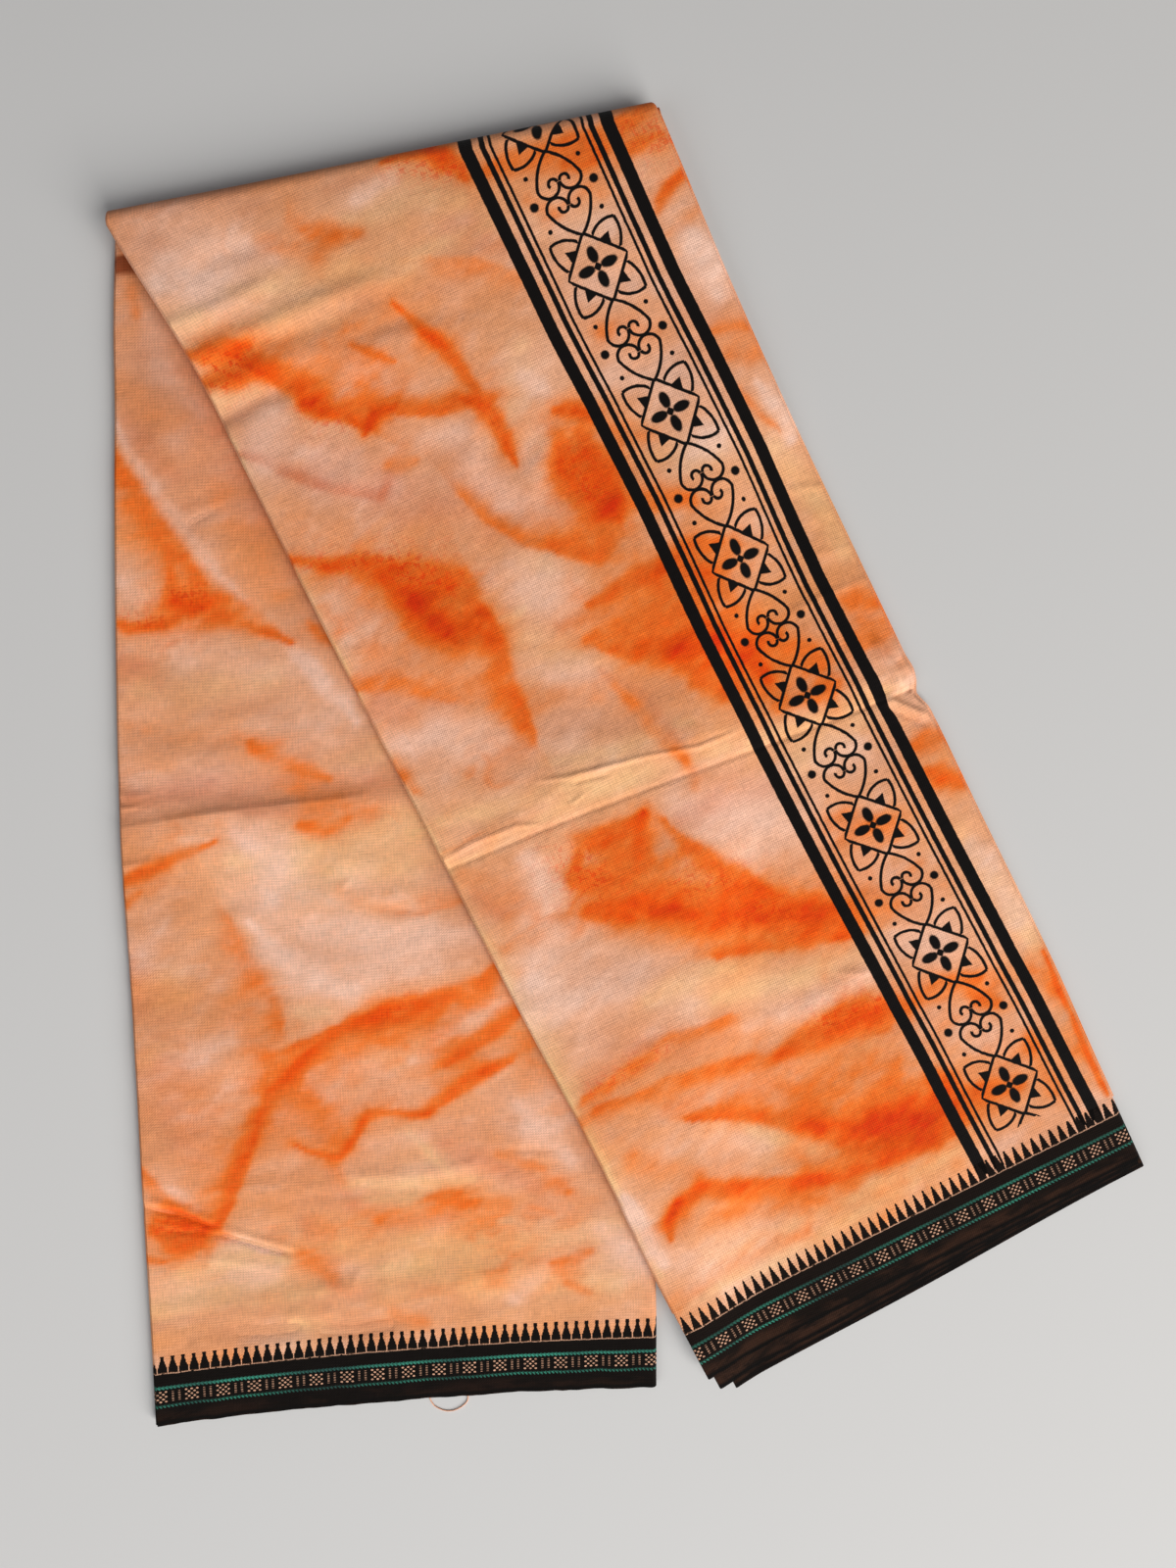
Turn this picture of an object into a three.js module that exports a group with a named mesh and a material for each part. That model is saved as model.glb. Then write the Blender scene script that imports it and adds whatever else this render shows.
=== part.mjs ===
import * as THREE from 'three';

// Lungi: one length of tie-dyed cotton, folded in half three times into a strip of eight layers,
// then turned over near its middle, so that one leg of the strip lies slantwise across the other.
// Millimetres, +Z up. The cloth rests on z = 0, and the origin is the middle of its footprint.

// The folded strip
const stripWidth = 250;
const packHeight = 5.4; // eight layers, pressed flat
const faceWall = 1.0; // the outermost sheet of a leg
const seamGap = 0.3;
const innerHeight = packHeight - faceWall - seamGap; // the layers under the face
const foldRim = packHeight / 2; // radius of the rounded left edge
const edgeRim = 1.8; // radius of the face's right edge
const innerRim = foldRim - faceWall - seamGap;

// Layer edges down each right side: heights, how far they stick out, and their rounding
const overSteps = [
  { low: 0.0, high: 1.1, out: 0.4, round: 0.7 },
  { low: 1.3, high: 2.6, out: 0.8, round: 0.7 },
  { low: 2.8, high: innerHeight, out: -edgeRim, round: 0.3 },
];
const underSteps = [
  { low: 0.0, high: 1.3, out: -1.0, round: 0.7 },
  { low: 1.5, high: 2.7, out: -1.4, round: 0.7 },
  { low: 2.9, high: innerHeight, out: -edgeRim, round: 0.3 },
];

// The turn, where the strip bends back over itself about a low axis
const turnInner = 3.0;
const turnAxisHeight = turnInner + packHeight;
const turnSteps = 8;

// How the upper leg comes down: off the turn, then off the right edge of the lower leg
const legRest = packHeight + seamGap;
const turnFall = 120;
const edgeX = 9.5;
const edgeStart = 16;
const edgeRun = 40;
const edgeRunAtTurn = 130;
const edgeRunFall = 260;

// The woven border at each hem, and the layers that stick out under the upper one
const borderDepth = 36;
const hemFolds = [
  { name: 'over_hem_upper_fold', low: 2.3, high: 4.1, leftOut: 8, rightOut: 2.5, leftIn: 3.4, rightIn: 2 },
  { name: 'over_hem_lower_fold', low: 0.0, high: 2.0, leftOut: 14, rightOut: 6, leftIn: 11, rightIn: 6 },
];
const hemBow = 4; // rise of the lower leg's hem between its corners
const bowFrom = 0.8; // share of the leg where that bow begins

// Mesh steps
const overColumns = 13;
const underColumns = 8;
const rowSpacing = 24;
const rimSteps = 4;
const creaseRows = [-26, -10, -4, 0, 6, 13, 20, 28, 42, 62]; // mm from a crease towards the turn

// Plan of each leg: 0 at the turn, 1 at the hem
const underPlan = [
  { along: 0.0, leftX: -250.8, leftY: 262.0, rightX: 8.4, rightY: 316.3 },
  { along: 0.15, leftX: -254.1, leftY: 174.0, rightX: 2.5, rightY: 222.6 },
  { along: 0.35, leftX: -255.3, leftY: 56.5, rightX: -3.5, rightY: 97.7 },
  { along: 0.5, leftX: -254.2, leftY: -31.5, rightX: -3.0, rightY: 4.0 },
  { along: 0.65, leftX: -249.7, leftY: -119.6, rightX: 1.0, rightY: -89.6 },
  { along: 0.8, leftX: -246.3, leftY: -207.6, rightX: 5.5, rightY: -183.3 },
  { along: 0.92, leftX: -243.0, leftY: -278.0, rightX: 9.0, rightY: -258.2 },
  { along: 1.0, leftX: -241.2, leftY: -325.0, rightX: 9.4, rightY: -308.2 },
];
const overPlan = [
  { along: 0.0, leftX: -250.8, leftY: 262.0, rightX: 8.4, rightY: 316.3 },
  { along: 0.1, leftX: -219.3, leftY: 206.0, rightX: 31.1, rightY: 265.4 },
  { along: 0.2, leftX: -191.9, leftY: 149.1, rightX: 55.2, rightY: 214.5 },
  { along: 0.35, leftX: -150.5, leftY: 64.5, rightX: 93.2, rightY: 138.2 },
  { along: 0.5, leftX: -107.9, leftY: -20.2, rightX: 130.9, rightY: 61.9 },
  { along: 0.65, leftX: -65.5, leftY: -104.9, rightX: 168.5, rightY: -14.4 },
  { along: 0.8, leftX: -21.6, leftY: -189.5, rightX: 207.0, rightY: -90.7 },
  { along: 0.9, leftX: 5.0, leftY: -246.0, rightX: 230.6, rightY: -141.6 },
  { along: 1.0, leftX: 33.9, leftY: -302.4, rightX: 254.7, rightY: -192.5 },
];

// The crease pressed across each leg: where it crosses, and the long swelling on its turn side
const underLeg = {
  plan: underPlan,
  length: 606,
  creaseAlong: 0.485,
  creaseSkew: 0.035,
  creaseLift: 1.9,
  creaseRise: 14,
  creaseFall: 46,
};
const overLeg = {
  plan: overPlan,
  length: 598,
  creaseAlong: 0.541,
  creaseSkew: -0.03,
  creaseLift: 3.0,
  creaseRise: 26,
  creaseFall: 52,
};
const creaseDip = 0.5;
const creaseDipWidth = 9;
const skewReach = 0.3; // share of the leg over which the rows lean with its crease
const flatHem = 0.88; // share of the leg past which the folds die away towards the hem
const clearFrom = 6; // the lower leg lies flat under the upper one and this far beside it, mm
const clearTo = 34;

// Soft folds across the legs, in mm across from the left edge and mm down from the turn
const underFolds = [
  { across: 60, down: 415, turned: 0.1, long: 190, wide: 26, lift: 0.8 },
  { across: 85, down: 492, turned: 0.15, long: 130, wide: 15, lift: 1.0 },
  { across: 150, down: 545, turned: -0.1, long: 200, wide: 24, lift: 0.7 },
];
const overFolds = [
  { across: 70, down: 85, turned: 0.25, long: 150, wide: 24, lift: 1.1 },
  { across: 95, down: 135, turned: 0.2, long: 170, wide: 26, lift: -0.9 },
  { across: 70, down: 300, turned: 0.18, long: 130, wide: 18, lift: 0.9 },
  { across: 120, down: 510, turned: -0.12, long: 200, wide: 30, lift: 0.8 },
];

// Colours of the dyed cloth, its woven border and the layers inside
const clothColour = 0xe9a273;
const underColour = 0xe2975f;
const layerColour = 0xd98a55;
const borderColour = 0x15110f;
const hemLayerColour = 0x241812;

const { clamp, lerp, smoothstep } = THREE.MathUtils;

// A smooth curve through one column of a plan table, straight on past its last row
function planValue(plan, column, along) {
  const last = plan.length - 1;
  const slope = (i, j) => (plan[j][column] - plan[i][column]) / (plan[j].along - plan[i].along);
  if (along >= 1) return plan[last][column] + slope(last - 1, last) * (along - 1);
  const next = plan.findIndex((row) => row.along > along);
  const from = plan[next - 1];
  const to = plan[next];
  const span = to.along - from.along;
  const t = (along - from.along) / span;
  const slopeFrom = slope(Math.max(next - 2, 0), next) * span;
  const slopeTo = slope(next - 1, Math.min(next + 1, last)) * span;
  const fromPart = (1 + 2 * t) * (1 - t) ** 2 * from[column] + t * (1 - t) ** 2 * slopeFrom;
  const toPart = t * t * (3 - 2 * t) * to[column] + t * t * (t - 1) * slopeTo;
  return fromPart + toPart;
}

function planPoint(plan, along, share) {
  const left = new THREE.Vector2(planValue(plan, 'leftX', along), planValue(plan, 'leftY', along));
  const right = new THREE.Vector2(planValue(plan, 'rightX', along), planValue(plan, 'rightY', along));
  return left.lerp(right, share);
}

// The turn's axis on the ground, and the way it faces
const axisLeft = planPoint(overPlan, 0, 0);
const axisRight = planPoint(overPlan, 0, 1);
const axisDirection = axisRight.clone().sub(axisLeft).normalize();
const turnOutward = new THREE.Vector2(-axisDirection.y, axisDirection.x);

// Height of the upper leg's underside: over the turn, on the lower leg, then down to the ground
function overBase(point) {
  const fromTurn = -point.clone().sub(axisLeft).dot(turnOutward);
  const lift = legRest * (1 - smoothstep(fromTurn, 0, turnFall));
  const run = lerp(edgeRunAtTurn, edgeRun, smoothstep(fromTurn, 0, edgeRunFall));
  const held = 1 - smoothstep(point.x - edgeX - edgeStart, 0, run);
  return legRest * held + lift;
}

// How far a point of the lower leg lies clear of the upper leg, faded so nothing lifts under it
function clearOfOver(point) {
  const down = (axisLeft.y - point.y) / (axisLeft.y - overPlan[overPlan.length - 1].leftY);
  const edge = planValue(overPlan, 'leftX', clamp(down, 0, 1));
  return smoothstep(edge - point.x, clearFrom, clearTo);
}

function creaseHeight(leg, along) {
  const d = (leg.creaseAlong - along) * leg.length;
  if (d < 0) return -creaseDip * (1 - smoothstep(-d, 0, creaseDipWidth));
  if (d < leg.creaseRise) return lerp(-creaseDip, leg.creaseLift, smoothstep(d, 0, leg.creaseRise));
  return leg.creaseLift * (1 - smoothstep(d - leg.creaseRise, 0, leg.creaseFall));
}

function foldHeight(folds, across, down) {
  let height = 0;
  for (const fold of folds) {
    const x = across - fold.across;
    const y = down - fold.down;
    const u = (x * Math.cos(fold.turned) + y * Math.sin(fold.turned)) / (fold.long / 2);
    const v = (y * Math.cos(fold.turned) - x * Math.sin(fold.turned)) / (fold.wide / 2);
    height += fold.lift * Math.exp(-u * u * 1.5 - v * v);
  }
  return height;
}

// Places a point of the folded strip: mm across, share along and height within the pack
function placeOnLeg(leg, across, along, height) {
  const share = across / stripWidth;
  const leaning = 1 - smoothstep(Math.abs(along - leg.creaseAlong), 0, skewReach);
  const point = planPoint(leg.plan, along + leg.creaseSkew * (share - 0.5) * leaning, share);
  const isUnder = leg === underLeg;
  const folds = foldHeight(isUnder ? underFolds : overFolds, across, along * leg.length);
  let relief = creaseHeight(leg, along) + folds;
  relief *= 1 - smoothstep(along, flatHem, 1);
  if (isUnder) {
    relief *= clearOfOver(point);
    point.y += hemBow * 4 * share * (1 - share) * smoothstep(along, bowFrom, 1);
  }
  const base = isUnder ? 0 : overBase(point);
  const lifted = height * (1 + relief / packHeight);
  return new THREE.Vector3(point.x, point.y, base + lifted);
}

function placeOnTurn(across, angle, height) {
  const radius = turnInner + height;
  const point = axisLeft.clone().lerp(axisRight, across / stripWidth);
  point.addScaledVector(turnOutward, radius * Math.sin(angle));
  return new THREE.Vector3(point.x, point.y, turnAxisHeight - radius * Math.cos(angle));
}

// Points of an arc in a section, from one angle to another
function arc(acrossCentre, heightCentre, radius, fromDegrees, toDegrees, steps) {
  return Array.from({ length: steps + 1 }, (_, i) => {
    const angle = THREE.MathUtils.degToRad(lerp(fromDegrees, toDegrees, i / steps));
    return [acrossCentre + radius * Math.cos(angle), heightCentre + radius * Math.sin(angle)];
  });
}

// Columns of a flat stretch between its two rims, with one where each hem fold begins
const hemFoldStart = (fold) => foldRim + fold.leftIn + (fold.high - fold.low) / 2;

function columnsAcross(columns) {
  const [from, to] = [foldRim, stripWidth - edgeRim];
  const even = Array.from({ length: columns - 1 }, (_, i) => lerp(from, to, (i + 1) / columns));
  const extra = columns === overColumns ? hemFolds.map(hemFoldStart) : [];
  return [...extra, ...even].sort((a, b) => a - b);
}

// Section of a face: flat on top, wrapped round the whole left edge and down the right one
function faceSection(columns) {
  const mid = columnsAcross(columns);
  const under = packHeight - faceWall;
  const rightCentre = stripWidth - edgeRim;
  return [
    ...mid.slice().reverse().map((across) => [across, packHeight]),
    ...arc(foldRim, foldRim, foldRim, 90, 270, rimSteps),
    ...arc(foldRim, foldRim, foldRim - faceWall, 270, 90, rimSteps),
    ...mid.map((across) => [across, under]),
    ...arc(rightCentre, packHeight - edgeRim, edgeRim - faceWall, 90, 0, 2),
    ...arc(rightCentre, packHeight - edgeRim, edgeRim, 0, 90, 2),
  ];
}

// Section of the hidden layers: a fold inside the left rim, and stepped layers on the right
function layerSection(columns, steps) {
  const mid = columnsAcross(columns);
  const right = steps.flatMap((step) => [
    [stripWidth + step.out, step.low],
    [stripWidth + step.out + step.round, (step.low + step.high) / 2],
    [stripWidth + step.out, step.high],
  ]);
  return [
    ...mid.slice().reverse().map((across) => [across, innerHeight]),
    ...arc(foldRim, foldRim, innerRim, 90, 270, rimSteps),
    [foldRim + seamGap, faceWall + seamGap],
    [foldRim + seamGap, 0],
    ...mid.map((across) => [across, 0]),
    ...right,
  ];
}

// A closed solid through sections that all have the same points, flat at both ends
function loftSections(section, stations, place) {
  const count = section.length;
  const positions = [];
  for (const station of stations) {
    for (const [across, height] of section) positions.push(...place(across, station, height).toArray());
  }
  const indices = [];
  for (let row = 0; row < stations.length - 1; row += 1) {
    for (let i = 0; i < count; i += 1) {
      const next = (i + 1) % count;
      const [here, beside] = [row * count + i, row * count + next];
      // walls that face each other are split along the same diagonal, so the gap between them holds
      if (section[next][0] > section[i][0]) {
        indices.push(here, here + count, beside + count, here, beside + count, beside);
      } else {
        indices.push(here, here + count, beside, beside, here + count, beside + count);
      }
    }
  }
  const outline = section.map(([across, height]) => new THREE.Vector2(across, height));
  const lastRow = (stations.length - 1) * count;
  for (const [a, b, c] of THREE.ShapeUtils.triangulateShape(outline, [])) {
    indices.push(a, b, c);
    indices.push(lastRow + a, lastRow + c, lastRow + b);
  }
  const geometry = new THREE.BufferGeometry();
  geometry.setAttribute('position', new THREE.Float32BufferAttribute(positions, 3));
  geometry.setIndex(indices);
  geometry.computeVertexNormals();
  return geometry;
}

function flipFaces(geometry) {
  const index = geometry.index.array;
  for (let i = 0; i < index.length; i += 3) [index[i + 1], index[i + 2]] = [index[i + 2], index[i + 1]];
  geometry.computeVertexNormals();
  return geometry;
}

function signedVolume(geometry) {
  const position = geometry.attributes.position;
  const index = geometry.index.array;
  const [a, b, c] = [new THREE.Vector3(), new THREE.Vector3(), new THREE.Vector3()];
  let volume = 0;
  for (let i = 0; i < index.length; i += 3) {
    a.fromBufferAttribute(position, index[i]);
    b.fromBufferAttribute(position, index[i + 1]);
    c.fromBufferAttribute(position, index[i + 2]);
    volume += a.dot(b.cross(c)) / 6;
  }
  return volume;
}

function clothMesh(name, geometry, colour, roughness) {
  const material = new THREE.MeshStandardMaterial({ color: colour, roughness, metalness: 0 });
  const mesh = new THREE.Mesh(signedVolume(geometry) < 0 ? flipFaces(geometry) : geometry, material);
  mesh.name = name;
  return mesh;
}

// Rows down a leg between two shares of it, closer together round its crease
function legRows(leg, from, to) {
  const count = Math.round(((to - from) * leg.length) / rowSpacing);
  const even = Array.from({ length: count + 1 }, (_, i) => lerp(from, to, i / count));
  const near = creaseRows.map((offset) => leg.creaseAlong - offset / leg.length);
  const clear = rowSpacing / leg.length / 2;
  const [low, high] = [Math.min(...near) - clear, Math.max(...near) + clear];
  return [...even.filter((along) => along < low || along > high), ...near].sort((a, b) => a - b);
}

const turnRows = Array.from({ length: turnSteps + 1 }, (_, i) => (Math.PI * i) / turnSteps);
const onUnder = (across, along, height) => placeOnLeg(underLeg, across, along, height);
const onOver = (across, along, height) => placeOnLeg(overLeg, across, along, height);

function legStretch(leg) {
  const start = seamGap / leg.length;
  const borderAt = 1 - borderDepth / leg.length;
  return { start, end: borderAt - seamGap / leg.length, borderAt };
}

function underLegParts() {
  const { start, end, borderAt } = legStretch(underLeg);
  const rows = legRows(underLeg, start, end);
  const borderRows = [borderAt, (borderAt + 1) / 2, 1];
  const face = faceSection(underColumns);
  const layers = layerSection(underColumns, underSteps);
  return [
    clothMesh('under_leg_face', loftSections(face, rows, onUnder), underColour, 0.9),
    clothMesh('under_leg_layers', loftSections(layers, rows, onUnder), layerColour, 0.95),
    clothMesh('under_leg_border', loftSections(face, borderRows, onUnder), borderColour, 0.85),
    clothMesh('under_hem_layers', loftSections(layers, borderRows, onUnder), hemLayerColour, 0.9),
  ];
}

function turnParts() {
  const face = faceSection(overColumns);
  const layers = layerSection(overColumns, overSteps);
  const onTurn = (across, angle, height) => placeOnTurn(across, angle, height);
  return [
    clothMesh('turn_face', loftSections(face, turnRows, onTurn), clothColour, 0.9),
    clothMesh('turn_layers', loftSections(layers, turnRows, onTurn), layerColour, 0.95),
  ];
}

// A hem fold that runs on past the border above it, set in at both sides
function hemFold(fold, borderRows) {
  const rim = (fold.high - fold.low) / 2;
  const middle = (fold.high + fold.low) / 2;
  const mid = columnsAcross(overColumns).filter((across) => across > hemFoldStart(fold));
  const section = [
    ...arc(stripWidth - fold.rightIn - rim, middle, rim, 270, 450, rimSteps),
    ...mid.slice().reverse().map((across) => [across, fold.high]),
    ...arc(hemFoldStart(fold), middle, rim, 90, 270, rimSteps),
    ...mid.map((across) => [across, fold.low]),
  ];
  const pastHem = 2;
  const place = (across, row, height) => {
    const out = lerp(fold.leftOut, fold.rightOut, across / stripWidth) / overLeg.length;
    return onOver(across, row === pastHem ? 1 + out : row, height);
  };
  return clothMesh(fold.name, loftSections(section, [...borderRows, pastHem], place), hemLayerColour, 0.9);
}

function overLegParts() {
  const { start, end, borderAt } = legStretch(overLeg);
  const rows = legRows(overLeg, start, end);
  const borderRows = [borderAt, (borderAt + 1) / 2, 1];
  const face = faceSection(overColumns);
  const layers = layerSection(overColumns, overSteps);
  return [
    clothMesh('over_leg_face', loftSections(face, rows, onOver), clothColour, 0.9),
    clothMesh('over_leg_layers', loftSections(layers, rows, onOver), layerColour, 0.95),
    clothMesh('over_leg_border', loftSections(face, borderRows, onOver), borderColour, 0.85),
    ...hemFolds.map((fold) => hemFold(fold, borderRows)),
  ];
}

const group = new THREE.Group();
group.add(...underLegParts(), ...turnParts(), ...overLegParts());
const footprint = new THREE.Box3().setFromObject(group).getCenter(new THREE.Vector3());
group.position.set(-footprint.x, -footprint.y, 0);
export default group;
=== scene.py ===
import math
import bpy
import numpy as np
from mathutils import Matrix


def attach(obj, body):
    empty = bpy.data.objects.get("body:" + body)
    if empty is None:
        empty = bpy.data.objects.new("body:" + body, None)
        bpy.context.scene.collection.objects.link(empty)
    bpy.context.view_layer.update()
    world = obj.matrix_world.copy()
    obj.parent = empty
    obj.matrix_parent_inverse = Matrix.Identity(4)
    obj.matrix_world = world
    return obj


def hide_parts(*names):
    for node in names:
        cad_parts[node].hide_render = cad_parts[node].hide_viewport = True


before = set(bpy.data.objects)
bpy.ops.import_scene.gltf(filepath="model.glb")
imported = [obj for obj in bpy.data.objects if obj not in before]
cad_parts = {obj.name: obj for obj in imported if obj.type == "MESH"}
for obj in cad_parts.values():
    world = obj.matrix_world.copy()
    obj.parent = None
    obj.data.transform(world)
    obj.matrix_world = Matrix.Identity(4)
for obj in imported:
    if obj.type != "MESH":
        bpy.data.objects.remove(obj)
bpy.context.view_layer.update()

# Lungi: one length of tie-dyed cotton, folded to a strip, taken as eight layers, and turned
# over on itself. Sizes are in mm and turned into metres where a mesh is made.
# A spot on a leg is told by s, mm across from its left edge, and y, mm up from its hem.

metre = 0.001

strip = {
    "width": 250.0,
    "pack": 5.4,            # height of the eight layers
    "firstLayer": 0.34,     # middle of the lowest one
    "layerStep": 0.675,
    "bendAt": 2.7,          # centre of the left bends
    "cloth": 0.34,          # thickness of the cloth
    "lip": 7.0,             # a face's two hidden runs stop this far short of the far side
    "shift": (0.30, 0.435), # the part's origin is the middle of its footprint
}


# Small maths

def ease(value, low, high):
    t = np.clip((value - low) / (high - low), 0, 1)
    return t * t * (3 - 2 * t)


def table(rows, column, at):
    rows = np.asarray(rows, float)
    return np.interp(at, rows[:, 0], rows[:, column])


def grain(x, y, seed):
    # smooth random numbers on a plane, from -1 to 1
    ix, iy = np.floor(x).astype(np.int64), np.floor(y).astype(np.int64)
    fx, fy = x - ix, y - iy
    fx, fy = fx * fx * (3 - 2 * fx), fy * fy * (3 - 2 * fy)

    def corner(i, j):
        n = (i * 374761393 + j * 668265263 + seed * 974634777) & 0xFFFFFFFF
        n = ((n ^ (n >> 13)) * 1274126177) & 0xFFFFFFFF
        return ((n ^ (n >> 16)) & 0xFFFF) / 32767.5 - 1

    low = corner(ix, iy) * (1 - fx) + corner(ix + 1, iy) * fx
    high = corner(ix, iy + 1) * (1 - fx) + corner(ix + 1, iy + 1) * fx
    return low * (1 - fy) + high * fy


def clouds(x, y, seed, octaves=3):
    total, size, weight = 0, 1.0, 1.0
    for k in range(octaves):
        total = total + weight * grain(x * size, y * size, seed + 17 * k)
        size, weight = size * 2.1, weight * 0.5
    return total / 1.75


def awayFrom(path, s, y):
    # distance to a path through (s, y) spots, how far along it the nearest spot lies, 0 to 1,
    # and on which side: above 0 to the left of its way, below 0 to the right
    path = np.asarray(path, float)
    steps = np.hypot(*np.diff(path, axis=0).T)
    ends = np.concatenate([[0], np.cumsum(steps)]) / steps.sum()
    best, share, left = np.full(np.shape(s), 1e9), np.zeros(np.shape(s)), np.zeros(np.shape(s))
    for (a, b), (start, stop) in zip(zip(path[:-1], path[1:]), zip(ends[:-1], ends[1:])):
        run = b - a
        t = np.clip(((s - a[0]) * run[0] + (y - a[1]) * run[1]) / (run @ run), 0, 1)
        d = np.hypot(s - a[0] - t * run[0], y - a[1] - t * run[1])
        across = (run[0] * (y - a[1]) - run[1] * (s - a[0])) / math.sqrt(run @ run)
        nearer = d < best
        best = np.where(nearer, d, best)
        share = np.where(nearer, start + t * (stop - start), share)
        left = np.where(nearer, np.clip(across / 1.6, -1, 1), left)
    return best, share, left


def paintOf(red, green, blue):
    # a colour as seen on a screen, 0 to 255, as the light it gives back
    back = lambda c: c / 12.92 if c <= 0.04045 else ((c + 0.055) / 1.055) ** 2.4
    return tuple(back(c / 255) for c in (red, green, blue))


# The two legs and the turn

# along, left x and y, right x and y: 0 at the turn, 1 at the hem
underPlan = np.array([
    (0.00, -250.8, 262.0, 8.4, 316.3),
    (0.15, -254.1, 174.0, 2.5, 222.6),
    (0.35, -255.3, 56.5, -3.5, 97.7),
    (0.50, -254.2, -31.5, -3.0, 4.0),
    (0.65, -249.7, -119.6, 1.0, -89.6),
    (0.80, -246.3, -207.6, 5.5, -183.3),
    (0.92, -243.0, -278.0, 9.0, -258.2),
    (1.00, -241.2, -325.0, 9.4, -308.2),
])
overPlan = np.array([
    (0.00, -250.8, 262.0, 8.4, 316.3),
    (0.10, -219.3, 206.0, 31.1, 265.4),
    (0.20, -191.9, 149.1, 55.2, 214.5),
    (0.35, -150.5, 64.5, 93.2, 138.2),
    (0.50, -107.9, -20.2, 130.9, 61.9),
    (0.65, -65.5, -104.9, 168.5, -14.4),
    (0.80, -21.6, -189.5, 207.0, -90.7),
    (0.90, 5.0, -246.0, 230.6, -141.6),
    (1.00, 33.9, -302.4, 254.7, -192.5),
])

underLeg = {
    "name": "under",
    "plan": underPlan,
    "length": 606.0,              # turn to hem
    "cloth": (587.0, 624.5),      # real cloth from turn to hem, at the left and right edges
    "crease": [(0, 296), (50, 295), (140, 297.5), (250, 299)],        # across, down from the turn
    "rise": [(0, 11), (60, 14), (250, 14)],
    "lift": [(0, 1.3), (40, 2.2), (250, 2.2)],
    "fall": 46.0,
    "fineRows": [(297, 8), (505, 16)],
}
overLeg = {
    "name": "over",
    "plan": overPlan,
    "length": 598.0,
    "cloth": (632.0, 565.0),
    "crease": [(0, 325.5), (75, 322), (120, 321), (165, 321), (207, 320), (250, 319.5)],
    "rise": [(0, 7), (40, 10), (78, 18), (115, 17), (150, 15), (200, 13), (250, 12)],
    "lift": [(0, 1.3), (40, 1.6), (80, 2.1), (150, 1.9), (200, 1.6), (250, 1.2)],
    "fall": 52.0,
    "fineRows": [(314, 17)],
}

turn = {"inner": 3.0, "axisHeight": 8.4, "rows": 30}
rest = {
    "height": 5.7,          # the upper leg lies this high, over the lower one
    "turnFall": 120.0,
    "edgeX": 9.5, "edgeStart": 16.0, "edgeRun": 40.0, "edgeRunAtTurn": 130.0, "edgeRunFall": 260.0,
    "clearFrom": 6.0, "clearTo": 34.0,
    "hemBow": 4.0, "bowFrom": 0.8,
    "nudgeTurn": 3.4, "nudgeLeg": 1.8, "ripple": 1.1,
}

# Soft folds: across, down from the turn, turned, long, wide, lift
underFolds = [
    (60, 415, 0.10, 190, 26, 0.8),
    (85, 492, 0.15, 130, 15, 0.7),
    (150, 545, -0.10, 200, 24, 0.7),
    (150, 360, 0.05, 120, 20, 0.5),
    (200, 470, -0.30, 90, 22, 0.6),
]
overFolds = [
    (95, 135, 0.20, 170, 26, -0.9),
    (70, 300, 0.18, 130, 18, 0.4),
    (120, 510, -0.12, 200, 30, 0.8),
    (110, 30, -0.25, 110, 16, 0.8),
    (205, 60, -0.15, 90, 26, 0.5),
    (60, 230, 0.30, 140, 40, 0.6),
    (170, 420, -0.20, 130, 40, 0.5),
    (130, 470, -0.25, 120, 14, 0.5),
]

# Long ridges above 0 and troughs below it: path through (across, down from the turn), width, height
underRidges = [
    ([(40, 561), (58, 563), (76, 562)], 4.5, -1.5),
    ([(80, 565), (100, 567), (122, 565)], 4.5, -1.7),
    ([(66, 557), (90, 556)], 3.5, 0.8),
    ([(0, 545), (50, 547), (110, 542)], 5.0, 0.7),
    ([(150, 545), (200, 540)], 6.0, 0.6),
    ([(96, 484), (130, 488), (168, 486)], 3.5, 0.8),
    ([(90, 494), (150, 497)], 3.5, -0.6),
    ([(118, 352), (142, 358), (168, 352)], 2.6, -0.8),
    ([(50, 350), (100, 346), (140, 352)], 7.0, 0.7),
    ([(34, 150), (50, 144), (66, 142)], 2.4, -0.9),
    ([(0, 262), (50, 266), (110, 262)], 6.0, 0.6),
    ([(0, 470), (24, 462)], 5.0, 0.5),
]
overRidges = [
    ([(-4, 52), (24, 48), (52, 41)], 4.2, 1.6),
    ([(-4, 68), (34, 61), (72, 54), (104, 50)], 4.6, 1.7),
    ([(18, 67), (52, 66), (80, 62)], 4.6, -1.2),
    ([(-4, 96), (16, 93), (36, 88)], 4.6, -1.7),
    ([(-4, 84), (30, 77), (62, 76)], 4.6, 0.9),
    ([(20, 30), (40, 24), (58, 22)], 5.0, -0.9),
    ([(60, 86), (100, 80), (134, 84)], 7.0, 0.8),
    ([(70, 74), (104, 70), (120, 72)], 5.0, -0.7),
    ([(98, 148), (110, 128), (120, 108)], 5.0, 0.6),
    ([(70, 120), (50, 134), (34, 142)], 6.0, 0.6),
    ([(118, 170), (132, 150), (150, 140)], 5.0, 0.7),
    ([(4, 402), (60, 410), (120, 424)], 7.0, 0.5),
    ([(90, 446), (130, 452), (168, 444)], 5.0, 0.6),
    ([(40, 520), (90, 528), (150, 540)], 6.0, 0.6),
]

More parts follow.
